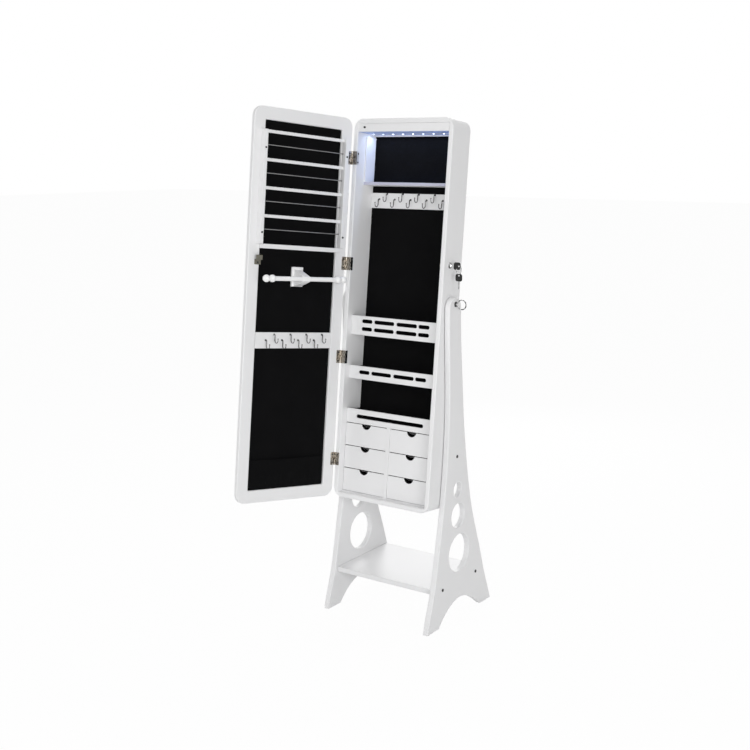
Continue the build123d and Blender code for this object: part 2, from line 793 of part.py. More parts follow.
middle_u = (u0 + u1) / 2
bar_y = door_inner + bracelet_reach
bar_axis = Vector(cos(radians(bracelet_tilt)), 0, -sin(radians(bracelet_tilt)))
bar_place = door_place * Location((middle_u, bar_y, bracelet_z), (0, bracelet_tilt, 0))
with BuildPart() as bracelet_bracket:
    block((middle_u - bracket_size[0] / 2, middle_u + bracket_size[0] / 2),
          (panel_y, panel_y + bracket_size[2]),
          (bracelet_z + bracket_rise - bracket_size[1] / 2,
           bracelet_z + bracket_rise + bracket_size[1] / 2))
    with BuildSketch(Plane.XZ.offset(-(panel_y + bracket_size[2]))):
        with Locations((middle_u, bracelet_z)):
            Rectangle(*bracket_root)
    with BuildSketch(Plane.XZ.offset(-bar_y)):
        with Locations((middle_u, bracelet_z)):
            Rectangle(bracket_root[0], 2 * bracelet_bar_radius + bracket_collar)
    loft()
    rod(Vector(middle_u, bar_y, bracelet_z) - bar_axis * bracket_root[0], bar_axis,
        bracelet_bar_radius + running_clearance, 2 * bracket_root[0], Mode.SUBTRACT)
write("bracelet_bracket", door_place, bracelet_bracket)

bar_end = inner_half - bracelet_bar_margin
with BuildPart() as bracelet_bar:
    rod((-bar_end, 0, 0), (1, 0, 0), bracelet_bar_radius, 2 * bar_end)
    for along in (-bar_end, bead_pitch - bar_end, bar_end - bead_pitch, bar_end):
        with Locations((along, 0, 0)):
            Sphere(bead_radius)
write("bracelet_bar", bar_place, bracelet_bar)

# ---------------------------------------------------------------- door hooks and pocket

with BuildPart() as door_hook_strip:
    block(opening_u, (panel_y, door_inner), (door_strip_top - door_strip_height, door_strip_top))
write("door_hook_strip", door_place, door_hook_strip)

door_hook_count = count_along(opening_u[1] - opening_u[0], door_hook_margin, hook_pitch)
door_hook_places = [(middle_u + (index - (door_hook_count - 1) / 2) * hook_pitch,
                     door_strip_top - door_hook_drops[index % 2])
                    for index in range(door_hook_count)]
write("door_hooks", door_place, hooks(door_inner, door_hook_places))

with BuildPart() as door_pocket:
    pocket_u = (opening_u[0] + pocket_margin, opening_u[1] - pocket_margin)
    block(pocket_u, (panel_y, panel_y + pocket_depth), (opening_z[0], pocket_top))
    block((pocket_u[0] + pocket_wall, pocket_u[1] - pocket_wall),
          (panel_y, panel_y + pocket_depth - pocket_wall),
          (opening_z[0] + pocket_wall, pocket_top), Mode.SUBTRACT)
write("door_pocket", door_place, door_pocket)

# ---------------------------------------------------------------- keeper and screws

step_z = (keeper_z[0] + keeper_z[1]) / 2
with BuildPart() as keeper_plate:
    plate = keeper_plate_thickness
    block(keeper_u, (door_inner, door_inner + plate), (keeper_z[0], step_z + plate))
    block(keeper_u, (door_inner, door_inner + keeper_offset), (step_z, step_z + plate))
    block(keeper_u, (door_inner + keeper_offset - plate, door_inner + keeper_offset),
          (step_z, keeper_z[1]))
    rod((keeper_screw[0], door_inner, keeper_screw[1]), (0, 1, 0),
        keeper_screw_radius + running_clearance, plate, Mode.SUBTRACT)
write("keeper_plate", door_place, keeper_plate)

with BuildPart() as door_screws:
    for u in post_u:
        for z in post_screw_z:
            centre = u + post_width / 2
            rod((centre, door_inner + post_reach, z), (0, 1, 0), *post_screw_head)
            rod((centre, door_inner + post_reach, z), (0, -1, 0), post_screw_radius,
                post_reach + post_screw_depth)
    rod((keeper_screw[0], door_inner + plate, keeper_screw[1]), (0, 1, 0), *keeper_screw_head)
    rod((keeper_screw[0], door_inner + plate, keeper_screw[1]), (0, -1, 0), keeper_screw_radius,
        keeper_screw_depth)
write("door_screws", door_place, door_screws, leaf_screws(False))

# ---------------------------------------------------------------- lock and keys

lock_inner_x = half_width - wall - lock_reach
with BuildPart() as lock_housing:
    rod((half_width, lock_y, lock_z), (1, 0, 0), *lock_flange)
    rod((half_width, lock_y, lock_z), (-1, 0, 0), lock_radius, wall + lock_reach)
    rod((half_width + lock_flange[1], lock_y, lock_z), (-1, 0, 0),
        cylinder_radius + running_clearance, wall + lock_reach + lock_flange[1], Mode.SUBTRACT)
write("lock_housing", cabinet_place, lock_housing)

key_face = half_width + lock_flange[1] + 1
with BuildPart() as lock_cylinder:
    rod((key_face, lock_y, lock_z), (-1, 0, 0), cylinder_radius, key_face - lock_inner_x + 4)
    block((key_face - keyway[2], key_face + 1), (lock_y - keyway[0] / 2, lock_y + keyway[0] / 2),
          (lock_z - keyway[1] / 2, lock_z + keyway[1] / 2), Mode.SUBTRACT)
write("lock_cylinder", cabinet_place, lock_cylinder)

cam_x = lock_inner_x - 0.5 - cam_thickness
with BuildPart() as lock_cam:
    with BuildSketch(Plane.YZ.offset(cam_x)):
        with Locations((lock_y, lock_z)):
            Circle(9)
            Polygon((-4, 0), (-4, cam_radius - 12), (-1.2, cam_radius - 6), (-1.2, cam_radius - 0.4),
                    (-cam_nose, cam_radius - 0.4), (-cam_nose, cam_radius + 3),
                    (2 - cam_nose, cam_radius + 4.5), (4, cam_radius + 4.5),
                    (5, cam_radius - 4), (5, 0), align=None)
            Circle(cylinder_radius + running_clearance, mode=Mode.SUBTRACT)
    extrude(amount=cam_thickness)
write("lock_cam", cabinet_place, lock_cam)


def key(x, z, blade_length, down):
    """A flat key with its head's centre at x, z; the blade points inwards, or down"""
    blade_y = (lock_y - key_blade[1] / 2, lock_y + key_blade[1] / 2)
    with BuildPart() as piece:
        with BuildSketch(Plane.XZ.offset(-lock_y - key_head[2] / 2)):
            with Locations((x, z)):
                RectangleRounded(key_head[0], key_head[1], key_corner)
            hole = ((x, z + key_head[1] / 2 - key_hole_inset) if down
                    else (x + key_head[0] / 2 - key_hole_inset, z))
            with Locations(hole):
                Circle(key_hole_radius, mode=Mode.SUBTRACT)
        extrude(amount=key_head[2])
        if down:
            block((x - key_blade[0] / 2, x + key_blade[0] / 2), blade_y,
                  (z - key_head[1] / 2 - blade_length, z - key_head[1] / 2))
        else:
            block((x - key_head[0] / 2 - blade_length, x - key_head[0] / 2), blade_y,
                  (z - key_blade[0] / 2, z + key_blade[0] / 2))
    return piece


key_x = key_face + key_neck + key_head[0] / 2
write("key", cabinet_place, key(key_x, lock_z, key_neck + key_insertion, False))

ring_x = key_x + key_head[0] / 2 - key_hole_inset
ring_z = lock_z - key_ring_radius + key_hole_radius - key_ring_wire - key_ring_play
with BuildPart() as key_ring:
    with BuildSketch(Plane.XZ.offset(-lock_y)):
        with Locations((ring_x, ring_z + key_ring_radius)):
            Circle(key_ring_wire)
    revolve(axis=Axis((ring_x, lock_y, ring_z), (1, 0, 0)), revolution_arc=360)
write("key_ring", ring_place, key_ring)

spare_hole_z = ring_z - key_ring_radius - key_hole_radius + key_ring_wire + key_ring_play
write("spare_key", ring_place,
      key(ring_x, spare_hole_z - key_head[1] / 2 + key_hole_inset, spare_blade, True))

print("origin", round(origin_x, 4), round(origin_y, 4))
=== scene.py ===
import bpy
import bmesh
import json
from math import asin, atan2, cos, pi, radians, sin
from mathutils import Matrix, Vector, noise
from mathutils.geometry import tessellate_polygon


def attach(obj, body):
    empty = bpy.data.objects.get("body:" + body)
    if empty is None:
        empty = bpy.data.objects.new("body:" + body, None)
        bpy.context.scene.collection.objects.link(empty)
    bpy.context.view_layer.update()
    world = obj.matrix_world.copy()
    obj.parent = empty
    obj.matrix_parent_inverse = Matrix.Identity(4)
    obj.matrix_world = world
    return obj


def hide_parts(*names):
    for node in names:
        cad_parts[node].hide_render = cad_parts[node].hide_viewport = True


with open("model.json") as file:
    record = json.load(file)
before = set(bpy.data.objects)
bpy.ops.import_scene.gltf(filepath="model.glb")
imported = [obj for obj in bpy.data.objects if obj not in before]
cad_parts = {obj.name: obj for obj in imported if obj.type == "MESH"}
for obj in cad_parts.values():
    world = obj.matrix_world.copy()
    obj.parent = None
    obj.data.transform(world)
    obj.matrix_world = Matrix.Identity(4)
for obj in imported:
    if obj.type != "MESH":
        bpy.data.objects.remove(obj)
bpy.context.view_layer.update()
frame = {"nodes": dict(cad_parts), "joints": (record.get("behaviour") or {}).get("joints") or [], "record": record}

# Jewelry armoire: a white cabinet that tilts in a two-panel stand, with its mirror door open.
# The frame gives the places of all pieces, in metres. The dictionaries of the pieces are in
# millimetres, and those of the camera, floor and lamps in metres.

mm = 0.001
scene = bpy.context.scene
joints = {joint["name"]: joint for joint in frame["joints"]}

# each body's own frame: the cabinet leans back, and its door is turned on its hinges

slideAxis = joints["drawer_top_left_slide"]["axis"]
tiltTurn = Matrix.Rotation(-atan2(slideAxis[2], -slideAxis[1]), 3, "X")
doorTurn = Matrix.Rotation(radians(joints["door_hinge"]["range_deg"][0]), 3, "Z")


def bodyFrame(joint, turn):
    return Matrix.Translation(joints[joint]["pos_m"]) @ turn.to_4x4()


cabinetFrame = bodyFrame("cabinet_tilt", tiltTurn)
frames = {"stand": Matrix.Identity(4), "pivot_pin": Matrix.Identity(4),
          "door": bodyFrame("door_hinge", tiltTurn @ doorTurn),
          "key_ring": bodyFrame("key_ring_swing", Matrix.Identity(3))}
for name, joint in joints.items():
    if name.startswith("drawer"):
        frames[joint["child"]] = cabinetFrame
for body in ("cabinet", "lock", "light_switch"):
    frames[body] = cabinetFrame
bodyOf = {node: body for body, members in frame["record"]["behaviour"]["bodies"].items()
          for node in members}


class Span:  # lowest and highest value along one axis
    def __init__(self, values):
        self.low, self.high = self.ends = min(values), max(values)
        self.mid, self.size = (self.low + self.high) / 2, self.high - self.low


def extent(points):
    return [Span([p[i] for p in points]) for i in range(3)]


def spans(node):  # a CAD node's extent in its body's own frame
    inverse = frames[bodyOf[node]].inverted()
    return extent([inverse @ v.co for v in frame["nodes"][node].data.vertices])


# camera

view = {"place": (1.94613, -2.79968, 1.4331), "turnLeft": 34.68, "down": 11.0, "lens": 55.27}


def added(name, data):
    thing = bpy.data.objects.new(name, data)
    scene.collection.objects.link(thing)
    return thing


def makeCamera():
    camera = added("camera", bpy.data.cameras.new("camera"))
    camera.location = view["place"]
    camera.rotation_euler = (radians(90 - view["down"]), 0, radians(view["turnLeft"]))
    camera.data.lens = view["lens"]
    camera.data.sensor_width = 36
    scene.camera = camera


makeCamera()
scene.view_settings.view_transform = "Standard"
print("camera at", view["place"])


# shader writing: sockets that take part in plain expressions

class Value:
    def __init__(self, finish, socket):
        self.finish, self.socket = finish, socket

    def maths(self, operation, *operands):
        return self.finish.node("Math", {"operation": operation}, dict(enumerate(operands)))[0]

    def __add__(self, other):
        return self.maths("ADD", self, other)

    def __sub__(self, other):
        return self.maths("SUBTRACT", self, other)

    def __rsub__(self, other):
        return self.maths("SUBTRACT", other, self)

    def __mul__(self, other):
        return self.maths("MULTIPLY", self, other)

    def clipped(self):
        return self.maths("MINIMUM", self.maths("MAXIMUM", self, 0.0), 1.0)

    __radd__, __rmul__ = __add__, __mul__


class Finish:  # one material, or the sky, and its nodes
    def __init__(self, name, owner=None):
        self.material = owner or bpy.data.materials.new(name)
        self.material.use_nodes = True
        self.tree = self.material.node_tree
        self.tree.nodes.clear()

    def node(self, kind, settings, inputs):
        made = self.tree.nodes.new("ShaderNode" + kind)
        for key, value in settings.items():
            if key == "stops":
                for place, colour in value[1:-1]:
                    made.color_ramp.elements.new(place)
                for element, (place, colour) in zip(made.color_ramp.elements, value):
                    element.position, element.color = place, (*colour, 1)
            else:
                setattr(made, key, value)
        for key, value in inputs.items():
            if isinstance(value, Value):
                self.tree.links.new(value.socket, made.inputs[key])
            else:
                made.inputs[key].default_value = value
        return [Value(self, out) for out in made.outputs]

    def place(self):
        return self.node("TexCoord", {}, {})[3]

    def noise(self, scale, detail=2.0, where=None):
        return self.node("TexNoise", {}, {"Vector": where or self.place(), "Scale": scale,
                                          "Detail": detail})[0]

    def stretched(self, stretch):
        return self.node("VectorMath", {"operation": "MULTIPLY"}, {0: self.place(), 1: stretch})[0]

    def mix(self, low, high, share):
        return self.node("Mix", {"data_type": "RGBA"}, {0: share, 6: colourOf(low),
                                                        7: colourOf(high)})[2]

    def bump(self, height, strength, reach):
        return self.node("Bump", {}, {"Strength": strength, "Distance": reach,
                                      "Height": height})[0]

    def surface(self, inputs):
        shader = self.node("BsdfPrincipled", {}, inputs)[0]
        self.node("OutputMaterial", {}, {"Surface": shader})
        return self.material


def colourOf(value):
    return value if isinstance(value, Value) else (*value, 1)


def grey(level, blue=1.0):
    return (level, level, level * blue)


# finishes

paint = {"low": (0.80, 0.80, 0.805), "high": (0.835, 0.835, 0.84), "roughness": 0.36,
         "peelScale": 380, "peelDepth": 0.00006, "cloudScale": 5}


def whitePaint(name="white_paint", low=paint["low"], high=paint["high"]):
    # satin lacquer on MDF: slow clouds of tone, a fine orange peel
    finish = Finish(name)
    clouds = finish.noise(paint["cloudScale"], 3)
    peel = finish.noise(paint["peelScale"], 2)
    speck = finish.noise(2400, 1)
    return finish.surface({
        "Base Color": finish.mix(low, high, clouds),
        "Roughness": paint["roughness"] + 0.1 * clouds + 0.04 * speck,
        "Normal": finish.bump(peel + 0.25 * speck, 0.5, paint["peelDepth"])})


velvet = {"low": (0.002, 0.002, 0.0022), "high": (0.006, 0.006, 0.0064), "nap": 1500,
          "patches": 14}


def blackVelvet(name="velvet"):  # short pile, lighter where the nap lies the other way
    finish = Finish(name)
    pile = finish.noise(velvet["nap"], 3)
    brushed = finish.noise(velvet["patches"], 4)
    share = (0.6 * pile + 0.55 * brushed - 0.05).clipped()
    return finish.surface({
        "Base Color": finish.mix(velvet["low"], velvet["high"], share),
        "Roughness": 0.95, "Specular IOR Level": 0.05, "Sheen Weight": 0.04,
        "Sheen Roughness": 0.45, "Sheen Tint": (0.6, 0.6, 0.65, 1),
        "Normal": finish.bump(pile, 0.6, 0.0004)})


def hingeSteel():  # plated steel; its dark, tan and bright streaks along the length are painted reflections
    finish = Finish("hinge_steel_painted_reflections")
    reflectionStreaks = finish.noise(1.0, 3, finish.stretched((420, 420, 70)))
    smudge = finish.noise(60, 3)
    tone = finish.node("ValToRGB", {"stops": [
        (0.36, (0.035, 0.032, 0.028)), (0.44, (0.3, 0.25, 0.19)), (0.54, (0.62, 0.59, 0.54)),
        (0.62, (0.2, 0.17, 0.13)), (0.72, (0.05, 0.046, 0.04))]}, {0: reflectionStreaks})[0]
    return finish.surface({
        "Base Color": tone, "Metallic": 1.0, "Roughness": 0.16 + 0.14 * reflectionStreaks + 0.1 * smudge,
        "Normal": finish.bump(reflectionStreaks, 0.25, 0.00005)})


def wireMetal(name="bright_wire", share=1.0):  # drawn nickel-plated wire; its dark and bright runs are painted reflections
    finish = Finish(name)
    runs = finish.noise(170, 2)
    dull = finish.noise(700, 2)
    tone = finish.node("ValToRGB", {"stops": [
        (0.38, grey(0.035 * share)), (0.48, grey(0.14 * share)), (0.55, grey(0.4 * share)),
        (0.64, grey(0.68 * share)), (0.72, grey(0.12 * share))]}, {0: runs})[0]
    return finish.surface({
        "Base Color": tone, "Metallic": 1.0, "Roughness": 0.1 + 0.14 * dull,
        "Normal": finish.bump(dull, 0.1, 0.00004)})


def clouded(name, scale, detail, low, high, gloss, bump=None, fixed=None):
    # one noise shifts the tone and the gloss and raises the surface a little
    finish = Finish(name)
    cloud = finish.noise(scale, detail)
    inputs = {"Base Color": finish.mix(low, high, cloud),
              "Roughness": gloss[0] + gloss[1] * cloud, **(fixed or {})}
    if bump:
        inputs["Normal"] = finish.bump(cloud, *bump)
    return finish.surface(inputs)


def rodSteel(name, low, high, metallic=0.6):  # dull plated rod and sheet
    return clouded(name, 240, 3, low, high, (0.34, 0.16), (0.1, 0.00004), {"Metallic": metallic})


def polishedSteel():  # nickel on the lock and keys
    return clouded("polished_steel", 220, 3, grey(0.62), grey(0.78), (0.12, 0.16),
                   (0.1, 0.00005), {"Metallic": 1.0})


def darkMetal():  # blackened steel screws and cam, with paler rubbed spots
    return clouded("dark_metal", 340, 4, grey(0.02), grey(0.09), (0.3, 0.25),
                   (0.15, 0.0001), {"Metallic": 0.9})


def silveredGlass():  # mirror: silver behind clear glass, with a faint haze of handling
    return clouded("mirror", 9, 4, (0.86, 0.88, 0.87), (0.9, 0.915, 0.91), (0.015, 0.03),
                   None, {"Metallic": 1.0, "Coat Weight": 0.5, "Coat Roughness": 0.01})


def darkPlastic(name, level):  # moulded, with a spark-eroded grain
    return clouded(name, 1800, 2, grey(level * 0.8), grey(level * 1.3), (0.5, 0.15),
                   (0.3, 0.00006), {"Specular IOR Level": 0.3})


def palePlastic(name, colour, roughness=0.4):  # washers and the light strip's carrier; also the blue tray and lilac edging in its bay, whose colours are painted shade and blue light
    return clouded(name, 90, 2, [0.95 * c for c in colour], colour, (roughness, 0.1))


def lampGlow():  # phosphor dome of an LED, a little uneven in its blue
    finish = Finish("led_glow")
    cells = finish.noise(900, 1)
    return finish.surface({
        "Base Color": (0.9, 0.92, 0.85, 1), "Roughness": 0.3,
        "Emission Color": finish.mix((0.62, 0.74, 1.0), (0.75, 0.85, 1.0), cells),
        "Emission Strength": 5.0})


finishes = {
    "white_paint": whitePaint(), "velvet": blackVelvet(),
    "polished": polishedSteel(), "steel": hingeSteel(), "wire": wireMetal(),
    "rod": rodSteel("rack_rod", grey(0.2), grey(0.34)),
    "hook": wireMetal("hook_wire", 0.5), "bar": whitePaint("bar_lacquer", grey(0.9), grey(0.93)),
    "zinc": rodSteel("satin_zinc", grey(0.58), grey(0.72), 0.25),
    "keeper": rodSteel("keeper_steel", (0.09, 0.088, 0.07), (0.2, 0.19, 0.15)),
    "mirror": silveredGlass(), "led": palePlastic("led_carrier", grey(0.8)),
    "dark_key": darkPlastic("key_head", 0.01), "dark_metal": darkMetal(),
    "switch": darkPlastic("switch_plastic", 0.03), "nylon": palePlastic("nylon", grey(0.7), 0.45),
    # the tray and edging colours are painted shade and blue light in the light bay
    "glow": lampGlow(), "painted_light_tray": palePlastic("painted_blue_light_sheet", (0.46, 0.56, 0.82), 0.5),
    "painted_shade_edging": palePlastic("bay_painted_shade_edging", (0.54, 0.54, 0.66), 0.4)}
slotOf = {part["node"]: part["material_slot"] for part in frame["record"]["subparts"]}
for node, piece in frame["nodes"].items():
    piece.data.materials.clear()
    piece.data.materials.append(finishes[slotOf[node]])
print("finishes:", len(finishes))


# floor and light

studio = {"floor": 30.0, "tone": 0.9, "shadow": 0.03, "daylight": 0.3}


def raysThatSee(finish):  # camera, glossy and transmission rays
    rays = finish.node("LightPath", {}, {})
    return (rays[0] + rays[3] + rays[6]).clipped()


def makeFloor():  # white where it is seen, with a faint shadow; matt for the light
    mesh = bpy.data.meshes.new("floor")
    shape = bmesh.new()
    bmesh.ops.create_grid(shape, x_segments=2, y_segments=2, size=studio["floor"])
    shape.to_mesh(mesh)
    shape.free()
    finish = Finish("floor")
    share = raysThatSee(finish) * (1 - studio["shadow"])
    matt = finish.node("BsdfDiffuse", {}, {"Color": colourOf(grey(studio["tone"]))})[0]
    bright = finish.node("Emission", {}, {"Color": colourOf(grey(1)), "Strength": 1.0})[0]
    both = finish.node("MixShader", {}, {0: share, 1: matt, 2: bright})[0]
    finish.node("OutputMaterial", {}, {"Surface": both})
    mesh.materials.append(finish.material)
    floor = added("floor", mesh)


def makeDaylight():
    scene.world = bpy.data.worlds.new("daylight")
    sky = Finish("daylight", scene.world)
    strength = raysThatSee(sky) * (1 - studio["daylight"]) + studio["daylight"]
    back = sky.node("Background", {}, {"Color": colourOf(grey(1)), "Strength": strength})[0]
    sky.node("OutputWorld", {}, {"Surface": back})


lamps = {"key": {"place": (-0.6, -3.2, 3.0), "aim": (0, 0, 0.8), "size": 2.6, "power": 22},
         "side": {"place": (3.4, -1.9, 1.1), "aim": (0, 0, 0.8), "size": 1.8, "power": 42.5},
         "fill": {"place": (2.3, -3.2, 1.9), "aim": (0, 0, 0.7), "size": 1.4, "power": 26},
         "low": {"place": (-1.2, -3.2, 0.7), "aim": (0, 0, 0.7), "size": 1.8, "power": 16},
         "top": {"place": (0.0, 0.7, 3.7), "aim": (0, 0.1, 1.0), "size": 2.2, "power": 23},
         "back": {"place": (-0.95, 2.45, 1.45), "aim": (0, 0.1, 0.2), "size": 1.8, "power": 25}}
bayLamps = {"strip_light": {"wide": 0.296, "deep": 0.006, "power": 0.2, "colour": (0.5, 0.64, 1.0),
                            "over": "light_strip", "above": -1, "turn": 0},
            "bay_light": {"wide": 0.29, "deep": 0.04, "power": 0.03, "colour": (0.16, 0.3, 1.0),
                          "over": "light_bay_boards", "above": 12, "turn": pi}}


def addLight(name, shape, power):
    light = bpy.data.lights.new(name, "AREA")
    light.shape, light.energy = shape, power
    return light, added(name, light)


def makeLamp(name, lamp):
    light, holder = addLight(name, "DISK", lamp["power"])
    light.size = lamp["size"]
    holder.location = lamp["place"]
    aim = Vector(lamp["aim"]) - Vector(lamp["place"])
    holder.rotation_euler = aim.to_track_quat("-Z", "Y").to_euler()


def makeBayLamp(name, lamp):  # the light strip's light, and what comes back up from the bay
    light, holder = addLight(name, "RECTANGLE", lamp["power"])
    light.size, light.size_y, light.color = lamp["wide"], lamp["deep"], lamp["colour"]
    x, y, z = spans(lamp["over"])
    place = Matrix.Translation((0, y.mid, z.low + lamp["above"] * mm))
    holder.matrix_world = cabinetFrame @ place @ Matrix.Rotation(lamp["turn"], 4, "X")
    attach(holder, "cabinet")


for name, lamp in bayLamps.items():
    makeBayLamp(name, lamp)
makeFloor()
makeDaylight()
for name, lamp in lamps.items():
    makeLamp(name, lamp)
print("floor and light ready")


# shapes: flat boards with rounded edges, made from the outlines of CAD faces

tolerance = {"flat": 0.02, "straight": 1e-4, "sharpCorner": 25}  # in mm, a sine, degrees


def linked(pairs):  # runs of directed edges joined into closed loops
    following = {}
    for start, end in pairs:
        following.setdefault(start, []).append(end)
    loops = []
    while following:
        start = point = next(iter(following))
        loop = []
        while not loop or point != start:
            loop.append(point)
            ends = following[point]
            if len(ends) == 1:
                del following[point]
            point = ends.pop()
        loops.append(loop)
    return loops


def solidsOf(node):  # each separate solid of a node: its points and its faces
    mesh = frame["nodes"][node].data
    inverse = frames[bodyOf[node]].inverted()
    indexOf, points, place = {}, [], []
    for vertex in mesh.vertices:
        point = inverse @ vertex.co
        key = tuple(round(c, 5) for c in point)
        if key not in indexOf:
            indexOf[key] = len(points)
            points.append(point)
        place.append(indexOf[key])
    leader = list(range(len(points)))

    def first(i):
        while leader[i] != i:
            leader[i] = leader[leader[i]]
            i = leader[i]
        return i

    faces = [[place[i] for i in face.vertices] for face in mesh.polygons]
    for face in faces:
        for i in face[1:]:
            leader[first(i)] = first(face[0])
    groups = {}
    for face in faces:
        groups.setdefault(first(face[0]), []).append(face)
    return [(points, group) for group in groups.values()]


def spansOf(points, faces):
    return extent([points[i] for face in faces for i in face])


def faceOutlines(points, faces, axis, side, smallest=0.0):
    # loops round the faces that look along an axis, without the bores under a size
    first, second = (axis + 1) % 3, (axis + 2) % 3
    reach = max(side * points[i][axis] for face in faces for i in face)
    edges = set()
    for face in faces:
        if any(side * points[i][axis] < reach - tolerance["flat"] * mm for i in face):
            continue
        for start, end in zip(face, face[1:] + face[:1]):
            if (end, start) in edges:
                edges.remove((end, start))
            else:
                edges.add((start, end))
    loops = [[(points[i][first], points[i][second]) for i in loop] for loop in linked(edges)]
    loops = [straightened(loop if side > 0 else loop[::-1]) for loop in loops]
    return [loop for loop in loops if area(loop) > 0 or across(loop) > smallest]


def corners(loop):  # each point between the one before it and the one after it
    return zip(loop[-1:] + loop[:-1], loop, loop[1:] + loop[:1])


def straightened(loop):  # without the points that lie on a straight run
    kept = []
    for before, point, after in corners(loop):
        one, two = Vector(point) - Vector(before), Vector(after) - Vector(point)
        if abs(one.cross(two)) > tolerance["straight"] * one.length * two.length:
            kept.append(point)
    return kept


def area(loop):  # above zero where a loop runs anticlockwise
    return sum(a[0] * b[1] - b[0] * a[1] for a, b in zip(loop, loop[1:] + loop[:1])) / 2


def across(loop):
    return max(max(p[i] for p in loop) - min(p[i] for p in loop) for i in (0, 1))


def ring(radius, count, centre=(0, 0)):
    return [(centre[0] + radius * cos(2 * pi * i / count),
             centre[1] + radius * sin(2 * pi * i / count)) for i in range(count)]


def rectangle(low, high):
    return [(low[0], low[1]), (high[0], low[1]), (high[0], high[1]), (low[0], high[1])]


def eased(loop, radius, steps=3):  # sharp corners become small arcs
    result = []
    for before, point, after in corners(loop):
        corner = Vector(point)
        one, two = corner - Vector(before), Vector(after) - corner
        turn = one.angle_signed(two)
        if abs(turn) < radians(tolerance["sharpCorner"]):
            result.append(corner)
            continue
        back = min(radius * abs(sin(turn / 2) / cos(turn / 2)), 0.4 * one.length,
                   0.4 * two.length)
        start, end = corner - back * one.normalized(), corner + back * two.normalized()
        for step in range(steps + 1):
            share = step / steps
            result.append(start.lerp(corner, share).lerp(corner.lerp(end, share), share))
    return result


def outward(loop):  # at each point, the way off the material and how far a mitre reaches
    normals, reaches = [], []
    for before, point, after in corners(loop):
        one, two = (point - before).normalized(), (after - point).normalized()
        off = Vector((one.y + two.y, -one.x - two.x))
        normals.append(off.normalized())
        reaches.append(1 / max(off.length / 2, 0.5))
    return normals, reaches


def around(axis, along, x, y):  # a point, from its height on an axis and its place across it
    point = [along] * 3
    point[(axis + 1) % 3], point[(axis + 2) % 3] = x, y
    return point


def plateShape(loops, axis, low, high, rounding, steps=3):
    # solid between two heights on an axis, with every edge rounded; returns points, faces, normals
    rounding = min(rounding, 0.49 * (high - low))
    quarter = [radians(90) * step / steps for step in range(steps + 1)]
    levels = [(1, angle) for angle in quarter] + [(-1, angle) for angle in quarter[::-1]]
    points, faces, normals = [], [], []
    for outer in (loop for loop in loops if area(loop) > 0):
        holes = [loop for loop in loops if area(loop) < 0 and inside(loop[0], outer)]
        caps = {1: [], -1: []}
        for loop in (outer, *holes):
            flat = eased(loop, rounding)
            off, reaches = outward(flat)
            base, count = len(points), len(flat)
            for side, angle in levels:
                inset, drop = rounding * (1 - sin(angle)), rounding * (1 - cos(angle))
                height = high - drop if side > 0 else low + drop
                for point, normal, reach in zip(flat, off, reaches):
                    points.append(around(axis, height, *(point - normal * inset * reach)))
                    normals.append(around(axis, side * cos(angle), *(normal * sin(angle))))
            for row in range(len(levels) - 1):
                for i in range(count):
                    a, b = base + row * count + i, base + row * count + (i + 1) % count
                    faces.append((a, a + count, b + count, b))
            caps[1].append(range(base, base + count))
            caps[-1].append(range(len(points) - count, len(points)))
        for side, cap in caps.items():
            rims = [[Vector((points[i][(axis + 1) % 3], points[i][(axis + 2) % 3], 0))
                     for i in rim] for rim in cap]
            order = [i for rim in cap for i in rim]
            for triangle in tessellate_polygon(rims):
                a, b, c = (order[i] for i in triangle)
                facing = (Vector(points[b]) - Vector(points[a])).cross(
                    Vector(points[c]) - Vector(points[a]))[axis]
                faces.append((a, b, c) if facing * side > 0 else (a, c, b))
    return points, faces, normals


def inside(point, loop):
    crossings = 0
    for a, b in zip(loop, loop[1:] + loop[:1]):
        if (a[1] > point[1]) != (b[1] > point[1]):
            crossings += point[0] < (b[0] - a[0]) * (point[1] - a[1]) / (b[1] - a[1]) + a[0]
    return crossings % 2 == 1


def meshOf(name, points, faces, normals=None):
    mesh = bpy.data.meshes.new(name)
    mesh.from_pydata(points, [], faces)
    mesh.validate()
    if normals:
        mesh.normals_split_custom_set_from_vertices(normals)
    return mesh


def joined(shapes):  # several shapes as one, with normals where they have them
    points, faces, normals = [], [], []
    for shape in shapes:
        base = len(points)
        points += shape[0]
        faces += [tuple(base + i for i in face) for face in shape[1]]
        normals += shape[2] if len(shape) > 2 else []
    return points, faces, normals


def smoothMesh(name, shape, sharp=38):  # smooth-shaded apart from its hard edges
    mesh = bpy.data.meshes.new(name)
    mesh.from_pydata(shape[0], [], shape[1])
    tidy = bmesh.new()
    tidy.from_mesh(mesh)
    bmesh.ops.recalc_face_normals(tidy, faces=tidy.faces)
    tidy.to_mesh(mesh)
    tidy.free()
    mesh.polygons.foreach_set("use_smooth", [True] * len(mesh.polygons))
    mesh.set_sharp_from_angle(angle=radians(sharp))
    return mesh


def addPiece(name, mesh, finish, node=None, body=None, slot=None, place=None):
    # a piece that stands for a CAD node takes its body; others ride on the cabinet, unless a
    # body is named. The slot is not used.
    body, slot = body or bodyOf.get(node, "cabinet"), slot or slotOf[node]
    piece = added(name, mesh)
    mesh.materials.append(finishes[finish])
    piece.matrix_world = place or frames[body]
    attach(piece, body)
    if node:
        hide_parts(node)
    return piece


def addBlocks(name, shapes, finish, node=None, **where):
    addPiece(name, meshOf(name, *joined(shapes)), finish, node, **where)


def addSmooth(name, shapes, finish, node=None, **where):
    addPiece(name, smoothMesh(name, joined(shapes)), finish, node, **where)


def rebuildPlate(node, name, axis, side, rounding, smallest=0.0):
    shapes = []
    for solid in solidsOf(node):
        loops = faceOutlines(*solid, axis, side, smallest)
        shapes.append(plateShape(loops, axis, *spansOf(*solid)[axis].ends, rounding * mm))
    addBlocks(name, shapes, slotOf[node], node)


# boards: node, piece, axis through it, clean side, rounding and smallest hole to keep in mm

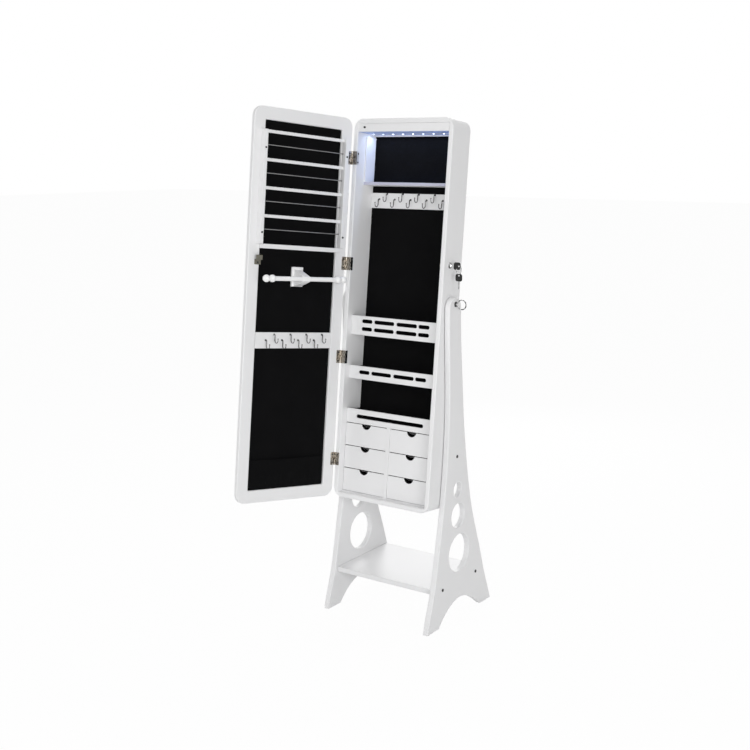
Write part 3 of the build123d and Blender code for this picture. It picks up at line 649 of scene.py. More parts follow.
boards = [
    ("left_stand_panel", "stand_panel_left", 0, -1, 2.6, 12),
    ("right_stand_panel", "stand_panel_right", 0, 1, 2.6, 12),
    ("stand_shelf", "shoe_shelf", 2, 1, 1.8, 0),
    ("rear_stretcher", "stretcher", 1, 1, 1.8, 0),
    ("cabinet_frame", "cabinet_shell", 1, 1, 3.0, 0),
    ("header_board", "header", 1, -1, 0.9, 0),
    ("light_bay_boards", "light_bay", 1, -1, 0.6, 0),
    ("hook_strip", "necklace_strip", 1, -1, 0.9, 0),
    ("upper_shelf_board", "upper_board", 2, 1, 0.6, 0),
    ("upper_shelf_lip", "upper_lip", 1, -1, 0.9, 0),
    ("middle_shelf_board", "middle_board", 2, 1, 0.6, 0),
    ("middle_shelf_lip", "middle_lip", 1, -1, 0.9, 0),
    ("drawer_case_board", "case_board", 2, 1, 0.6, 0),
    ("drawer_case_lip", "case_lip", 1, -1, 0.9, 0),
    ("drawer_divider", "divider_of_drawers", 1, -1, 0.6, 0),
    ("door_frame", "door_surround", 1, -1, 3.0, 0),
    ("rack_posts", "earring_posts", 1, 1, 1.2, 8),
    ("rack_bars", "earring_bars", 1, 1, 0.5, 0),
    ("door_divider", "door_rail_middle", 1, 1, 0.9, 0),
    ("door_hook_strip", "door_strip", 1, 1, 0.9, 0)]

for node, name, axis, side, rounding, smallest in boards:
    rebuildPlate(node, name, axis, side, rounding, smallest * mm)
print("boards:", len(boards))

softEdges = {"drawer_runners": 0.4, "keeper_plate": 0.2, "light_switch": 0.5,
             "pivot_washers": 0.3}


def soften(node, width):  # CAD pieces that stay, with their edges rounded
    piece = frame["nodes"][node]
    weld = piece.modifiers.new("weld", "WELD")
    weld.merge_threshold = 0.001 * mm
    bevel = piece.modifiers.new("soft", "BEVEL")
    bevel.width, bevel.segments, bevel.limit_method = width * mm, 2, "ANGLE"
    bevel.angle_limit = radians(40)
    bevel.harden_normals = True


for node, width in softEdges.items():
    soften(node, width)
frame["nodes"]["keeper_plate"].data.materials[0] = finishes["keeper"]


# shapes turned on an axis and bent from wire

def tubeFaces(rows, count, closed=False):  # between rings of points, and over the open ends
    faces, last = [], (rows - 1) * count
    for row in range(rows if closed else rows - 1):
        for i in range(count):
            a, b = row * count, (row + 1) % rows * count
            after = (i + 1) % count
            faces.append((a + i, a + after, b + after, b + i))
    return faces if closed else faces + [range(count)[::-1], range(last, last + count)]


def turned(profile, centre, axis, count=32):  # (along, radius) pairs swept round an axis
    points = []
    for along, radius in profile:
        for x, y in ring(radius, count):
            points.append([a + b for a, b in zip(centre, around(axis, along, x, y))])
    return points, tubeFaces(len(profile), count)


def scaled(profile):
    return [(along * mm, radius * mm) for along, radius in profile]


def bentWire(path, radii, across, closed=False, count=14):  # round wire along a flat path
    across, points, total = Vector(across), [], len(path)
    for i, (centre, radius) in enumerate(zip(path, radii)):
        before = path[i - 1] if i or closed else path[0]
        after = path[(i + 1) % total] if i < total - 1 or closed else path[-1]
        along = (Vector(after) - Vector(before)).normalized()
        other = along.cross(across)
        for x, y in ring(radius, count):
            points.append(Vector(centre) + x * across + y * other)
    return points, tubeFaces(total, count, closed)


def block(x, y, z, rounding):  # box with rounded edges, from three (low, high) pairs
    return plateShape([rectangle((x[0], y[0]), (x[1], y[1]))], 2, *z, rounding)


# velvet boards: padded a little, with a nap that lies unevenly

def gridFaces(columns, rows):
    width = columns + 1
    return [(a, a + 1, a + width + 1, a + width) for row in range(rows)
            for a in range(row * width, row * width + columns)]


velvetPad = {"swell": 0.7, "edge": 6, "ripple": 0.12, "rippleSize": 45, "step": 7}


def velvetBoard(node, name):
    x, y, z = spans(node)
    side = -1 if bodyOf[node] == "cabinet" else 1
    face, back = (y.low, y.high) if side < 0 else (y.high, y.low)
    columns = int(x.size / (velvetPad["step"] * mm)) + 1
    rows = int(z.size / (velvetPad["step"] * mm)) + 1
    points, faces = [], []
    for row in range(rows + 1):
        for column in range(columns + 1):
            place = Vector((x.low + x.size * column / columns, 0, z.low + z.size * row / rows))
            rim = min(place.x - x.low, x.high - place.x, place.z - z.low, z.high - place.z)
            rise = 1 - min(rim / (velvetPad["edge"] * mm), 1)
            wave = noise.noise(place / (velvetPad["rippleSize"] * mm))
            sink = velvetPad["swell"] * rise ** 2 + velvetPad["ripple"] * (1 + wave)
            place.y = face - side * sink * mm
            points.append(place)
    faces, base, width = gridFaces(columns, rows), len(points), columns + 1
    top = rows * width
    rim = [*range(width), *range(width + columns, top + width, width),
           *range(top + columns - 1, top - 1, -1), *range(top - width, 0, -width)]
    points += [Vector((points[i].x, back, points[i].z)) for i in rim]
    for i, start in enumerate(rim):
        after = (i + 1) % len(rim)
        faces.append((start, base + i, base + after, rim[after]))
    faces.append(tuple(range(base, base + len(rim))))
    addPiece(name, smoothMesh(name, (points, faces), 50), "velvet", node)


velvetBoard("velvet_back", "velvet_lining")
velvetBoard("door_inner_panel", "door_velvet")
rebuildPlate("earring_panel", "earring_board", 1, -1, 0.9)
print("velvet boards ready")


# liners on the shelves

liner = {"thick": 1.0, "below": 5, "round": 0.3}


def lineShelf(shelf, name):
    x, y, z = spans(shelf + "_board")
    top = spans(shelf + "_lip")[2].high - liner["below"] * mm
    thick, rounding = liner["thick"] * mm, liner["round"] * mm
    shapes = [block(x.ends, y.ends, (z.high, z.high + thick), rounding)]
    for low in (x.low, x.high - thick):
        shapes.append(block((low, low + thick), y.ends, (z.high, top), rounding))
    addBlocks(name, shapes, "velvet", slot="velvet")


lineShelf("upper_shelf", "upper_liner")
lineShelf("middle_shelf", "middle_liner")
lineShelf("drawer_case", "case_liner")


# drawers: notched front, painted box, velvet inside it; the velvet round the notch and on top of the front is
# painted shade, for the dark half-moon and the dark lines between the drawers

drawerMake = {"side": 6, "base": 3, "notchRadius": 16.5, "notchDepth": 14, "felt": 0.8,
              "wider": 0.6, "lower": 1.2, "frontRound": 0.5, "boxRound": 0.8, "feltRound": 0.2,
              "wallTop": 0.5, "notchFront": 0.7, "shadeStripFront": 2.2}


def makeDrawer(node):
    front, box = sorted(solidsOf(node), key=lambda s: spansOf(*s)[1].low)
    fx, fy, fz = spansOf(*front)
    bx, by, bz = spansOf(*box)
    felt, side, base = (drawerMake[key] * mm for key in ("felt", "side", "base"))
    boxRound, feltRound = drawerMake["boxRound"] * mm, drawerMake["feltRound"] * mm
    wider, lower = drawerMake["wider"] * mm, drawerMake["lower"] * mm * ("bottom" in node)
    outline = [[(z - lower * (z < fz.mid), x + (wider if x > fx.mid else -wider)
                 * (abs(x - fx.mid) > 0.49 * fx.size)) for z, x in loop]
               for loop in faceOutlines(*front, 1, -1)]
    floor, walls = (bz.low, bz.low + base), (bz.low + base, bz.high)
    within, inner = (bx.low + side, bx.high - side), (by.low, by.high - side)
    shapes = [plateShape(outline, 1, *fy.ends, drawerMake["frontRound"] * mm),
              block(bx.ends, by.ends, floor, boxRound / 2)]
    for low in (bx.low, bx.high - side):
        shapes.append(block((low, low + side), by.ends, walls, boxRound))
    shapes.append(block(within, (by.high - side, by.high), walls, boxRound))
    addBlocks(node + "_wood", shapes, "white_paint", node)
    lined = (walls[0], walls[1] - drawerMake["wallTop"] * mm)
    soft = [block(within, inner, (walls[0], walls[0] + felt), feltRound)]
    soft += [block((low, low + felt), inner, lined, feltRound)
             for low in (within[0], within[1] - felt)]
    soft += [block(within, (low, low + felt), lined, feltRound)
             for low in (inner[0], inner[1] - felt)]
    radius, depth = drawerMake["notchRadius"] * mm, drawerMake["notchDepth"] * mm
    centreZ = fz.high + radius - depth
    start = asin((radius - depth) / radius)
    arc = [pi + start + (pi - 2 * start) * i / 20 for i in range(21)]
    outer, lining = ([(centreZ + r * sin(a), fx.mid + r * cos(a)) for a in arc]
                     for r in (radius, radius - felt))
    notchFront, shadeStripFront = (fy.low + drawerMake[key] * mm for key in ("notchFront", "shadeStripFront"))
    # velvet round the notch: painted shade, so the half-moon reads dark
    soft.append(plateShape([anticlockwise(outer + lining[::-1])], 1, notchFront, by.low,
                           feltRound))
    # velvet strips on top of the front: painted shade, the dark lines between the drawers
    notch = radius * cos(start)
    for ends in ((fx.low, fx.mid - notch), (fx.mid + notch, fx.high)):
        soft.append(block(ends, (shadeStripFront, fy.high), (fz.high, fz.high + felt), feltRound))
    addBlocks(node + "_felt", soft, "velvet", body=node, slot="velvet")


def anticlockwise(loop):
    return loop if area(loop) > 0 else loop[::-1]


for node in frame["nodes"]:
    if node.startswith("drawer") and node in frames:
        makeDrawer(node)
print("drawers ready")


# cup hooks: shank with a collar, leg, round bend and a ball at the tip

hook = {"wire": 1.3, "standoff": 6, "leg": 16, "bend": 8.5, "tip": 6, "corner": 3,
        "collar": 3.1, "ball": 1.9}


def hookShapes(solid, side):
    x, y, z = spansOf(*solid)
    face = y.high if side < 0 else y.low
    top = z.high - hook["wire"] * mm
    path, radii = [], []

    def put(out, up, radius):
        path.append(Vector((x.mid, face + side * out * mm, top + up * mm)))
        radii.append(radius * mm)

    wire, corner, leg = hook["wire"], hook["corner"], hook["standoff"]
    put(-0.5, 0, wire)
    for step in range(7):
        angle = radians(90 * step / 6)
        put(leg - corner + corner * sin(angle), corner * (cos(angle) - 1), wire * 1.1)
    put(leg, -hook["leg"] * 0.6, wire * 1.1)
    for step in range(15):
        angle = radians(180 * step / 14)
        put(leg + hook["bend"] * (1 - cos(angle)), -hook["leg"] - hook["bend"] * sin(angle),
            wire * (1.05 - 0.25 * step / 14))
    out = leg + 2 * hook["bend"]
    put(out, hook["tip"] - hook["leg"] - 2 * hook["ball"], wire * 0.8)
    for step in range(7):
        angle = radians(25 + 155 * step / 6)
        put(out, hook["tip"] - hook["leg"] - hook["ball"] * (1 + cos(angle)),
            max(hook["ball"] * sin(angle), 0.15))
    collar = [(-0.3, hook["collar"]), (0.5, hook["collar"]), (0.9, hook["collar"] * 0.85),
              (1.2, hook["collar"] * 0.5)]
    return [bentWire(path, radii, (1, 0, 0)),
            turned([(side * a * mm, r * mm) for a, r in collar], (x.mid, face, top), 1, 20)]


def makeHooks(node, name, side):
    shapes = [shape for solid in solidsOf(node) for shape in hookShapes(solid, side)]
    addSmooth(name, shapes, "hook", node)


makeHooks("necklace_hooks", "cup_hooks", -1)
makeHooks("door_hooks", "door_cup_hooks", 1)
print("hooks ready")


# screw heads with a cross recess or a hexagon socket

screws = {"stand": {"radius": 5, "height": 1.5, "inset": 0, "socket": "hexagon"},
          "hinge": {"radius": 2.8, "height": 0.8, "inset": 0.15, "socket": "cross"},
          "return": {"radius": 2.8, "height": 0.8, "inset": 0, "socket": "cross"},
          "board": {"radius": 3, "height": 1.2, "inset": 0, "socket": "cross"},
          "hingeWidth": 5.8}  # a door screw that is narrower than this holds a hinge
headMake = {"reach": 0.68, "arm": 0.14, "hexagon": 0.5,  # shares of a head's radius
            "recess": 0.35, "base": 0.4, "edge": 0.3, "baseEdge": 0.02}  # and of its height


def crossLoop(reach, arm):
    quarter = ((reach, -arm), (reach, arm), (arm, arm))
    return [(x * a - y * b, x * b + y * a) for x, y in ((1, 0), (0, 1), (-1, 0), (0, -1))
            for a, b in quarter][::-1]


def screwHead(centre, axis, side, screw):
    first, second = (axis + 1) % 3, (axis + 2) % 3
    radius, height, face = screw["radius"] * mm, screw["height"] * mm, centre[axis]
    recess = (crossLoop(headMake["reach"] * radius, headMake["arm"] * radius)
              if screw["socket"] == "cross" else ring(headMake["hexagon"] * radius, 6)[::-1])
    moved = [[(p[0] + centre[first], p[1] + centre[second]) for p in loop]
             for loop in (ring(radius, 28), recess)]
    deep, top = sorted((face + side * headMake["recess"] * height, face + side * height))
    low, high = sorted((face, face + side * headMake["base"] * height))
    return [plateShape(moved, axis, deep, top, headMake["edge"] * height),
            plateShape(moved[:1], axis, low, high, headMake["baseEdge"] * height)]


def headsOf(node, axis, side, kind, chosen):  # heads on the outer ends of the chosen screws
    shapes, screw = [], screws[kind]
    for solid in solidsOf(node):
        span = spansOf(*solid)
        if chosen(span):
            centre = [s.mid for s in span]
            end = span[axis].high if side > 0 else span[axis].low
            centre[axis] = end - side * (screw["height"] + screw["inset"]) * mm
            shapes += screwHead(centre, axis, side, screw)
    return shapes


def makeHeads():
    rightSide = spans("right_stand_panel")[0].mid
    width = screws["hingeWidth"] * mm
    stand = headsOf("stand_screws", 0, 1, "stand", lambda s: s[0].high > rightSide)
    stand += headsOf("stand_screws", 0, -1, "stand", lambda s: s[0].high < rightSide)
    node = "cabinet_hinge_screws"
    cabinet = headsOf(node, 1, -1, "hinge", lambda s: s[1].size > s[0].size)
    cabinet += headsOf(node, 0, 1, "return", lambda s: s[0].size > s[1].size)
    door = headsOf("door_screws", 1, 1, "hinge", lambda s: s[0].size < width)
    door += headsOf("door_screws", 1, 1, "board", lambda s: s[0].size > width)
    addBlocks("stand_bolts", stand, "dark_metal", "stand_screws")
    addBlocks("hinge_screws_cabinet", cabinet, "dark_metal", node)
    addBlocks("door_screw_heads", door, "dark_metal", "door_screws")


makeHeads()
print("screw heads ready")


# butt hinges: two leaves, five knuckles, a pin with domed ends

hinge = {"leaf": 1.2, "return": 10.5, "corner": 1.2, "round": 0.25, "knuckles": 5,
         "knuckle": 2.0, "gap": 0.15, "ease": 0.3, "narrow": 0.85, "pin": 1.2, "dome": 0.4,
         "domeTip": 0.5}
returns = []  # height and shape of each part that turns back along the inside of the wall


def hingeShapes(solid, cabinetSide):
    x, y, z = spansOf(*solid)
    radius, leaf, rounding = (hinge[key] * mm for key in ("knuckle", "leaf", "round"))
    axisX, axisY = x.low + radius, y.low + radius
    plate = (y.high - leaf, y.high) if cabinetSide else (y.low, y.low + leaf)
    if y.size > hinge["return"] * mm:
        base = y.high - hinge["return"] * mm
        plate = (base - leaf, base)
        turn = eased(rectangle((base - leaf, z.low), (y.high, z.high)), hinge["corner"] * mm)
        returns.append((z.mid, plateShape([turn], 0, x.high - leaf, x.high, rounding)))
    flat = eased(rectangle((z.low, axisX), (z.high, x.high)), hinge["corner"] * mm)
    shapes = [plateShape([flat], 1, *plate, rounding)]
    length = z.size / hinge["knuckles"]
    long, ease, end = length - 2 * hinge["gap"] * mm, hinge["ease"] * mm, radius * hinge["narrow"]
    barrel = [(0, end), (ease, radius), (long - ease, radius), (long, end)]
    for i in range(0 if cabinetSide else 1, hinge["knuckles"], 2):
        low = z.low + i * length + hinge["gap"] * mm
        shapes.append(turned(barrel, (axisX, axisY, low), 2, 24))
    return shapes


def makeHinges(node, name, cabinetSide):
    shapes = [shape for solid in solidsOf(node) for shape in hingeShapes(solid, cabinetSide)]
    addSmooth(name, shapes, "steel", node)


def makeReturnsAndPins():
    top = max(height for height, shape in returns)
    # the top return takes satin zinc and the lower ones polished steel, so the top one looks lit and the lower
    # ones shaded: lit and shaded copies of one part, painted light and shade
    for name, finish, chosen in (
            ("hinge_return_top_painted_lit", "zinc", [s for height, s in returns if height == top]),
            ("hinge_returns_painted_shade", "polished", [s for height, s in returns if height < top])):
        addBlocks(name, chosen, finish, slot="steel")
    pins = []
    thick, dome, tip = (hinge[key] * mm for key in ("pin", "dome", "domeTip"))
    for solid in solidsOf("hinge_pins"):
        x, y, z = spansOf(*solid)
        profile = [(-dome, tip), (0, thick), (z.size, thick), (z.size + dome, tip)]
        pins.append(turned(profile, (x.mid, y.mid, z.low), 2, 20))
    addSmooth("hinge_pins_domed", pins, "steel", "hinge_pins")


makeHinges("cabinet_hinge_leaves", "hinge_leaves_cabinet", True)
makeHinges("door_hinge_leaves", "hinge_leaves_door", False)
makeReturnsAndPins()
print("hinges ready")


# earring rods and bracelet bar

collar = [(0, 1.6), (0.3, 2.1), (2.2, 2.1), (2.5, 1.6)]  # on each end of a rod, in mm
rods = []
for solid in solidsOf("rack_rods"):
    x, y, z = spansOf(*solid)
    rods.append(turned([(0, z.size / 2), (x.size, z.size / 2)], (x.low, y.mid, z.mid), 0, 20))
    for end in (x.low, x.high - collar[-1][0] * mm):
        rods.append(turned(scaled(collar), (end, y.mid, z.mid), 0, 20))
addSmooth("earring_rods", rods, "rod", "rack_rods")

barMake = {"radius": 6.8, "bead": 11, "beadPitch": 20.2, "tilt": 0.9, "blend": 14, "step": 0.8,
           "plate": 8, "arm": 26, "root": 50, "collar": 6, "round": 1.6, "back": 2}


def makeBraceletBar():
    x, y, z = spans("bracelet_bar")
    slope = radians(barMake["tilt"])
    bead, radius, power = barMake["bead"], barMake["radius"], barMake["blend"]
    end = (x.size / mm / 2 - bead) / cos(slope)
    beads = [side * (end - inset) for side in (-1, 1) for inset in (0, barMake["beadPitch"])]
    count = int(2 * (end + bead) / barMake["step"])
    profile = []
    for i in range(count + 1):
        along = -(end + bead) + 2 * (end + bead) * i / count
        widths = [max(bead ** 2 - (along - place) ** 2, 0) ** 0.5 for place in beads]
        widths.append(radius if abs(along) < end else 0)
        profile.append((along, max(sum(w ** power for w in widths) ** (1 / power), 0.05)))
    shape = turned(scaled(profile), (0, 0, 0), 0, 40)
    centre = Matrix.Translation((x.mid, y.mid, z.mid))
    addPiece("bracelet_rail", smoothMesh("bracelet_rail", shape, 60), "bar", "bracelet_bar",
             place=frames["door"] @ centre @ Matrix.Rotation(slope, 4, "Y"))
    px, py, pz = spans("bracelet_bracket")
    back, front = py.low + barMake["back"] * mm, py.low + barMake["plate"] * mm
    half, root = barMake["arm"] / 2 * mm, barMake["root"] / 2 * mm
    tip, nose = (radius + barMake["collar"] / 2) * mm, py.high + radius * mm
    lower = [(back, -root), (front, -root), (py.high, -tip), (nose, -0.6 * tip)]
    outline = [(depth, z.mid + height)
               for depth, height in lower + [(depth, -height) for depth, height in lower[::-1]]]
    rounding = barMake["round"] * mm
    addBlocks("bracelet_arm", [block(px.ends, (py.low, front), pz.ends, rounding),
                               plateShape([outline], 0, px.mid - half, px.mid + half, rounding)],
              "bar", "bracelet_bracket")


makeBraceletBar()
print("bracelet bar ready")


# mirror: silvered pane with a ground bevel round it

mirrorMake = {"bevel": 14, "drop": 0.9}


def makeMirror():
    x, y, z = spans("door_mirror")
    bevel, drop = mirrorMake["bevel"] * mm, mirrorMake["drop"] * mm
    points, faces = [], []
    for inset, depth in ((0, y.high), (0, y.low + drop), (bevel, y.low)):
        points += [(a, depth, b) for a, b in rectangle((x.low + inset, z.low + inset),
                                                       (x.high - inset, z.high - inset))]
    for row in (0, 4):
        faces += [(row + i, row + (i + 1) % 4, row + 4 + (i + 1) % 4, row + 4 + i)
                  for i in range(4)]
    faces += [(0, 1, 2, 3), (8, 9, 10, 11)]
    addPiece("bevelled_mirror", smoothMesh("bevelled_mirror", (points, faces), 1), "mirror",
             "door_mirror")


makeMirror()
print("mirror ready")


# pocket at the foot of the door: gathered velvet with a turned hem

pocketMake = {"columns": 90, "rows": 26, "wall": 1.3, "hem": 12, "hemRise": 0.3, "gathers": 11,
              "fold": 0.8, "sag": 2.0, "full": 0.88, "thinnest": 0.2, "longer": 1.03,
              "higher": 1.02}


def makePocket():
    x, y, z = spans("door_pocket")
    columns, rows = pocketMake["columns"], pocketMake["rows"]
    wall, hem, fold, sag = (pocketMake[key] * mm for key in ("wall", "hem", "fold", "sag"))
    full, thinnest = pocketMake["full"], pocketMake["thinnest"] * mm
    depth, points = y.size - wall, []
    for row in range(rows + 1):
        up = row / rows
        rise = pocketMake["hemRise"] * mm if z.size * (1 - up) < hem else 0
        for column in range(columns + 1):
            across = column / columns
            arch = sin(pi * across)
            bulge = arch ** 0.45 * (0.25 + 0.75 * sin(pi / 2 * min(1.6 * up, 1)))
            fade = arch ** 0.5 * (1 - min(up / 0.8, 1)) ** 0.6
            folds = fold * fade * sin(2 * pi * pocketMake["gathers"] * across
                                      + 1.3 * sin(9 * across))
            out = min(max(bulge * depth * full + folds + rise, thinnest), depth)
            points.append((x.low + x.size * across, y.low + out,
                           z.low + z.size * up - sag * arch * up ** 4))
    mesh = bpy.data.meshes.new("velvet_pocket")
    mesh.from_pydata(points, [], gridFaces(columns, rows))
    mesh.polygons.foreach_set("use_smooth", [True] * len(mesh.polygons))
    piece = addPiece("velvet_pocket", mesh, "velvet", "door_pocket")
    solid = piece.modifiers.new("cloth", "SOLIDIFY")
    solid.thickness, solid.offset = wall, -1


makePocket()
print("pocket ready")


# lock with its cam, the two keys, the key ring and the pull ring

lockMake = {"rosette": [(0, 5.3), (0, 9.5), (0.9, 9.5), (1.6, 8.6), (2.0, 7.9), (2.0, 7.1),
                        (1.7, 6.7), (1.9, 6.3), (2.0, 5.3)],
            "flangeThick": 2, "barrel": 7.5, "nut": 11, "nutThick": 4, "nutEdge": 0.5,
            "thread": 1.0, "threadDepth": 0.5, "plug": 5, "plugEase": 0.4, "plugTip": 0.5}


def addTurned(name, profile, node, finish, count):  # turned on the line along X through a node
    x, y, z = spans(node)
    addSmooth(name, [turned(profile, (0, y.mid, z.mid), 0, count)], finish, node)


def makeLock():
    x, y, z = spans("lock_housing")
    face = x.high - lockMake["flangeThick"] * mm
    wallInner = spans("back_panel")[0].high
    rosette = [(face + along, radius) for along, radius in scaled(lockMake["rosette"])]
    addTurned("lock_rosette", rosette, "lock_housing", "wire", 40)
    threads, along, deep = [], x.low, 0.0
    while along < face:
        threads.append((along, (lockMake["barrel"] - deep) * mm))
        deep = lockMake["threadDepth"] - deep
        along += lockMake["thread"] / 2 * mm
    threads.append((face, lockMake["barrel"] * mm))
    nut = plateShape([ring(lockMake["nut"] * mm, 6, (y.mid, z.mid))], 0,
                     wallInner - lockMake["nutThick"] * mm, wallInner, lockMake["nutEdge"] * mm)
    sleeve = turned(threads, (0, y.mid, z.mid), 0, 28)
    addSmooth("lock_barrel", [sleeve, nut], "steel", slot="steel")
    x = spans("lock_cylinder")[0]
    radius, ease, tip = (lockMake[key] * mm for key in ("plug", "plugEase", "plugTip"))
    addTurned("lock_plug", [(x.low, radius * 0.8), (x.low + tip, radius),
                            (x.high - ease, radius), (x.high, radius - ease)],
              "lock_cylinder", "polished", 32)


keyMake = {"head": 22, "thick": 3.2, "corner": 6, "hole": 3, "inset": 4.5, "round": 1.1,
           "blade": 5.4, "spareBlade": 2.6, "bladeThick": 1.8, "bladeRound": 0.3, "root": 2,
           "cuts": [0.0, 0.9, 0.3, 1.3, 0.6, 1.0, 0.2, 0.8, 0.0],
           "tipShare": 0.12, "cutShare": 0.62, "plainShare": 0.2}


def keyHead(centre, hole):  # loops in the plane that looks along Y: (z, x) pairs
    half = keyMake["head"] / 2 * mm
    corner = keyMake["corner"] * mm
    outline = []
    for up, right, start in ((1, 1, 0), (1, -1, 90), (-1, -1, 180), (-1, 1, 270)):
        for step in range(7):
            angle = radians(start + 15 * step)
            outline.append((centre[2] + up * (half - corner) + corner * sin(angle),
                            centre[0] + right * (half - corner) + corner * cos(angle)))
    hollow = ring(keyMake["hole"] * mm, 24, (hole[2], hole[0]))
    return [anticlockwise(outline), anticlockwise(hollow)[::-1]]


def bladeLoop(start, end, centre, width, along):  # blade with cuts on one edge
    length, half, cuts = end - start, width * mm / 2, keyMake["cuts"]
    tip = keyMake["tipShare"] * length
    points = [(start, centre - half), (end - tip, centre - half), (end, centre),
              (end - tip, centre + half)]
    for i, cut in enumerate(cuts):
        place = end - tip - keyMake["cutShare"] * length * (i + 1) / len(cuts)
        points.append((place, centre + half - cut * mm * width / keyMake["blade"]))
    points += [(start + keyMake["plainShare"] * length, centre + half), (start, centre + half)]
    return anticlockwise(points if along == "z" else [(b, a) for a, b in points])


def makeKey(node, centre, hole, blade, finish):
    depth, thick, flat = centre[1], keyMake["thick"] / 2 * mm, keyMake["bladeThick"] / 2 * mm
    addBlocks(node + "_grip", [plateShape(keyHead(centre, hole), 1, depth - thick, depth + thick,
                                          keyMake["round"] * mm)], "dark_key", node)
    addBlocks(node + "_blade", [plateShape([blade], 1, depth - flat, depth + flat,
                                           keyMake["bladeRound"] * mm)],
              finish, body=bodyOf[node], slot="steel")


def makeKeys():
    half, root, inset = (keyMake[key] * mm for key in ("head", "root", "inset"))
    half /= 2
    x, y, z = spans("key")
    blade = bladeLoop(x.high - 2 * half + root, x.low, z.mid, keyMake["blade"], "x")
    makeKey("key", (x.high - half, y.mid, z.mid), (x.high - inset, y.mid, z.mid), blade,
            "polished")
    x, y, z = spans("spare_key")
    blade = bladeLoop(z.high - 2 * half + root, z.low, x.mid, keyMake["spareBlade"], "z")
    makeKey("spare_key", (x.mid, y.mid, z.high - half), (x.mid, y.mid, z.high - inset), blade,
            "rod")


def makeRing(node, name, axis, wire):
    span = spans(node)
    centre = Vector([s.mid for s in span])
    path = [centre + Vector(around(axis, 0, a, b))
            for a, b in ring(span[2].size / 2 - wire * mm, 64)]
    addSmooth(name, [bentWire(path, [wire * mm] * len(path), around(axis, 1, 0, 0), True)],
              "wire", node)


makeLock()
makeKeys()
makeRing("key_ring", "split_ring", 0, 0.8)
makeRing("pull_ring", "pull_ring_wire", 1, 1.7)
rebuildPlate("lock_cam", "lock_cam_plate", 0, 1, 0.3)
print("lock and keys ready")


# pivots: dome bolt on the left; sprung pin and its housing on the right

# each point: which end along X it is measured from, how far from it, and how much less
# than the full radius it is, in mm
cupOutline = [("low", 0, 0), ("low", 1.2, 0), ("low", 2.2, 0.6), ("high", -0.6, 2),
              ("high", 0, 2.6)]
pinOutline = [("low", 0, 1.2), ("low", 1.2, 0), ("high", -3.4, 0), ("high", -3.1, 0.5),
              ("high", -2.7, 0.5), ("high", -2.4, 0), ("high", -0.9, 0), ("high", 0, 1.3)]
pivotMake = {"dome": [(0, 2), (0.4, 4.8), (1.2, 7.2), (2.4, 8.7)], "domeRim": 3.2, "shank": 4,
             "shankEase": 0.5, "bore": 4.3}


def placed(node, outline):
    x, y, z = spans(node)
    ends = {"low": x.low, "high": x.high}
    return [(ends[end] + along * mm, y.size / 2 - less * mm) for end, along, less in outline]


def makePivots():
    x, y, z = spans("left_pivot_bolt")
    outer = spans("left_stand_panel")[0].low
    shank, ease = pivotMake["shank"] * mm, pivotMake["shankEase"] * mm
    dome = [(x.low + along, radius) for along, radius in scaled(pivotMake["dome"])]
    dome += [(x.low + pivotMake["domeRim"] * mm, y.size / 2), (outer, y.size / 2),
             (outer, shank), (x.high - ease, shank), (x.high, shank - ease)]
    addTurned("pivot_dome_bolt", dome, "left_pivot_bolt", "steel", 40)
    x, bore = spans("pin_housing")[0], pivotMake["bore"] * mm
    cup = [(x.low, bore), *placed("pin_housing", cupOutline), (x.high, bore)]
    addTurned("pin_cup", cup, "pin_housing", "dark_metal", 40)
    addTurned("pull_pin", placed("pivot_pin", pinOutline), "pivot_pin", "polished", 32)


makePivots()
print("pivots ready")


# light strip: carrier board, phosphor domes and solder dots; in its bay, a blue tray and a lilac edging whose
# colours are painted shade and blue light

stripMake = {"dotStep": 8, "painted_light_tray": 0.6, "painted_shade_edging": 0.4, "setBack": 2, "round": 0.2,
             "cell": [(0, 2.4), (-0.5, 2.3), (-0.9, 1.9), (-1.2, 1.3), (-1.4, 0.4)],
             "dot": [(0, 1.2), (-0.3, 1.1), (-0.5, 0.6)]}


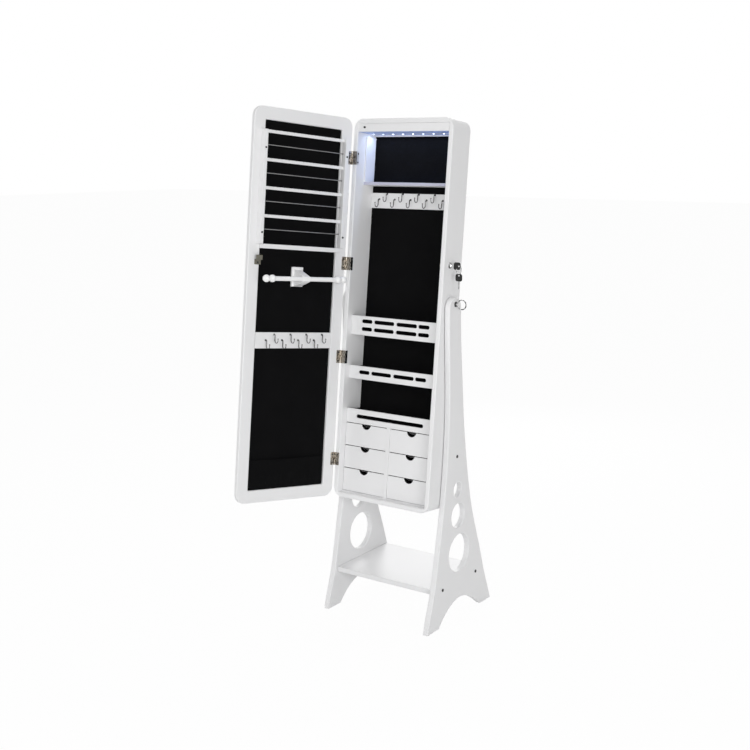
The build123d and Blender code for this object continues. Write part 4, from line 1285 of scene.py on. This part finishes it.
def makeLightStrip():
    boards, cells, dots = [], [], []
    for solid in solidsOf("light_strip"):
        x, y, z = spansOf(*solid)
        if x.size > 10 * mm:
            boards.append(block(x.ends, y.ends, z.ends, stripMake["round"] * mm))
            continue
        cells.append(turned(scaled(stripMake["cell"]), (x.mid, y.mid, z.high), 2, 24))
        for across in (-stripMake["dotStep"] * mm, stripMake["dotStep"] * mm):
            dots.append(turned(scaled(stripMake["dot"]), (x.mid + across, y.mid, z.high), 2, 16))
    addBlocks("light_board", boards, "led", "light_strip")
    addSmooth("light_cells", cells, "glow", slot="led")
    addSmooth("light_solder", dots, "polished", slot="steel")


def makePaintedLightSheets():  # thin blue sheet under the header behind the strip, painted shade and blue light on the bay's ceiling; lilac edging on the bay's floor board, painted shade and blue light on its front edge
    ceiling = spans("light_strip")[2].high
    x, y, z = spans("light_bay_boards")
    cleat = max((spansOf(*solid) for solid in solidsOf("light_bay_boards")),
                key=lambda s: s[2].low)
    painted_light_tray, edge, rounding = stripMake["painted_light_tray"] * mm, stripMake["painted_shade_edging"] * mm, 0.1 * mm
    front = spans("header_board")[1].low + stripMake["setBack"] * mm
    addBlocks("painted_blue_light_sheet", [block((x.low + painted_light_tray, x.high - painted_light_tray), (front, cleat[1].low),
                                   (ceiling - painted_light_tray, ceiling), rounding)],
              "painted_light_tray", slot="led")
    floorTop = spans("earring_panel")[2].low
    addBlocks("bay_painted_shade_edging", [block((x.low + edge, x.high - edge), (y.low - edge, y.low),
                                   (z.low + edge, floorTop - edge), rounding)],
              "painted_shade_edging", slot="white_paint")


makeLightStrip()
makePaintedLightSheets()
print("light strip ready")


# back: hardboard with small nails round its edge

nailMake = {"inset": 5, "step": 92, "radius": 1.7, "height": 0.35}


def makeBack():
    rebuildPlate("back_panel", "back_board", 1, 1, 0.4)
    x, y, z = spans("back_panel")
    inset, radius, height = nailMake["inset"] * mm, nailMake["radius"], nailMake["height"]
    acrossX, acrossZ = ((s.low + inset, s.high - inset) for s in (x, z))
    places = []
    for span, others in ((z, acrossX), (x, acrossZ)):
        count = max(int((span.size - 2 * inset) / (nailMake["step"] * mm)), 1)
        for i in range(count + 1):
            along = span.low + inset + (span.size - 2 * inset) * i / count
            places += [(other, along) if span is z else (along, other) for other in others]
    dome = scaled([(0, radius), (0.6 * height, radius * 0.8), (height, radius * 0.35)])
    nails = [turned(dome, (px, y.high, pz), 1, 14) for px, pz in dict.fromkeys(places)]
    addSmooth("back_nails", nails, "steel", slot="steel")


makeBack()
print("back ready")
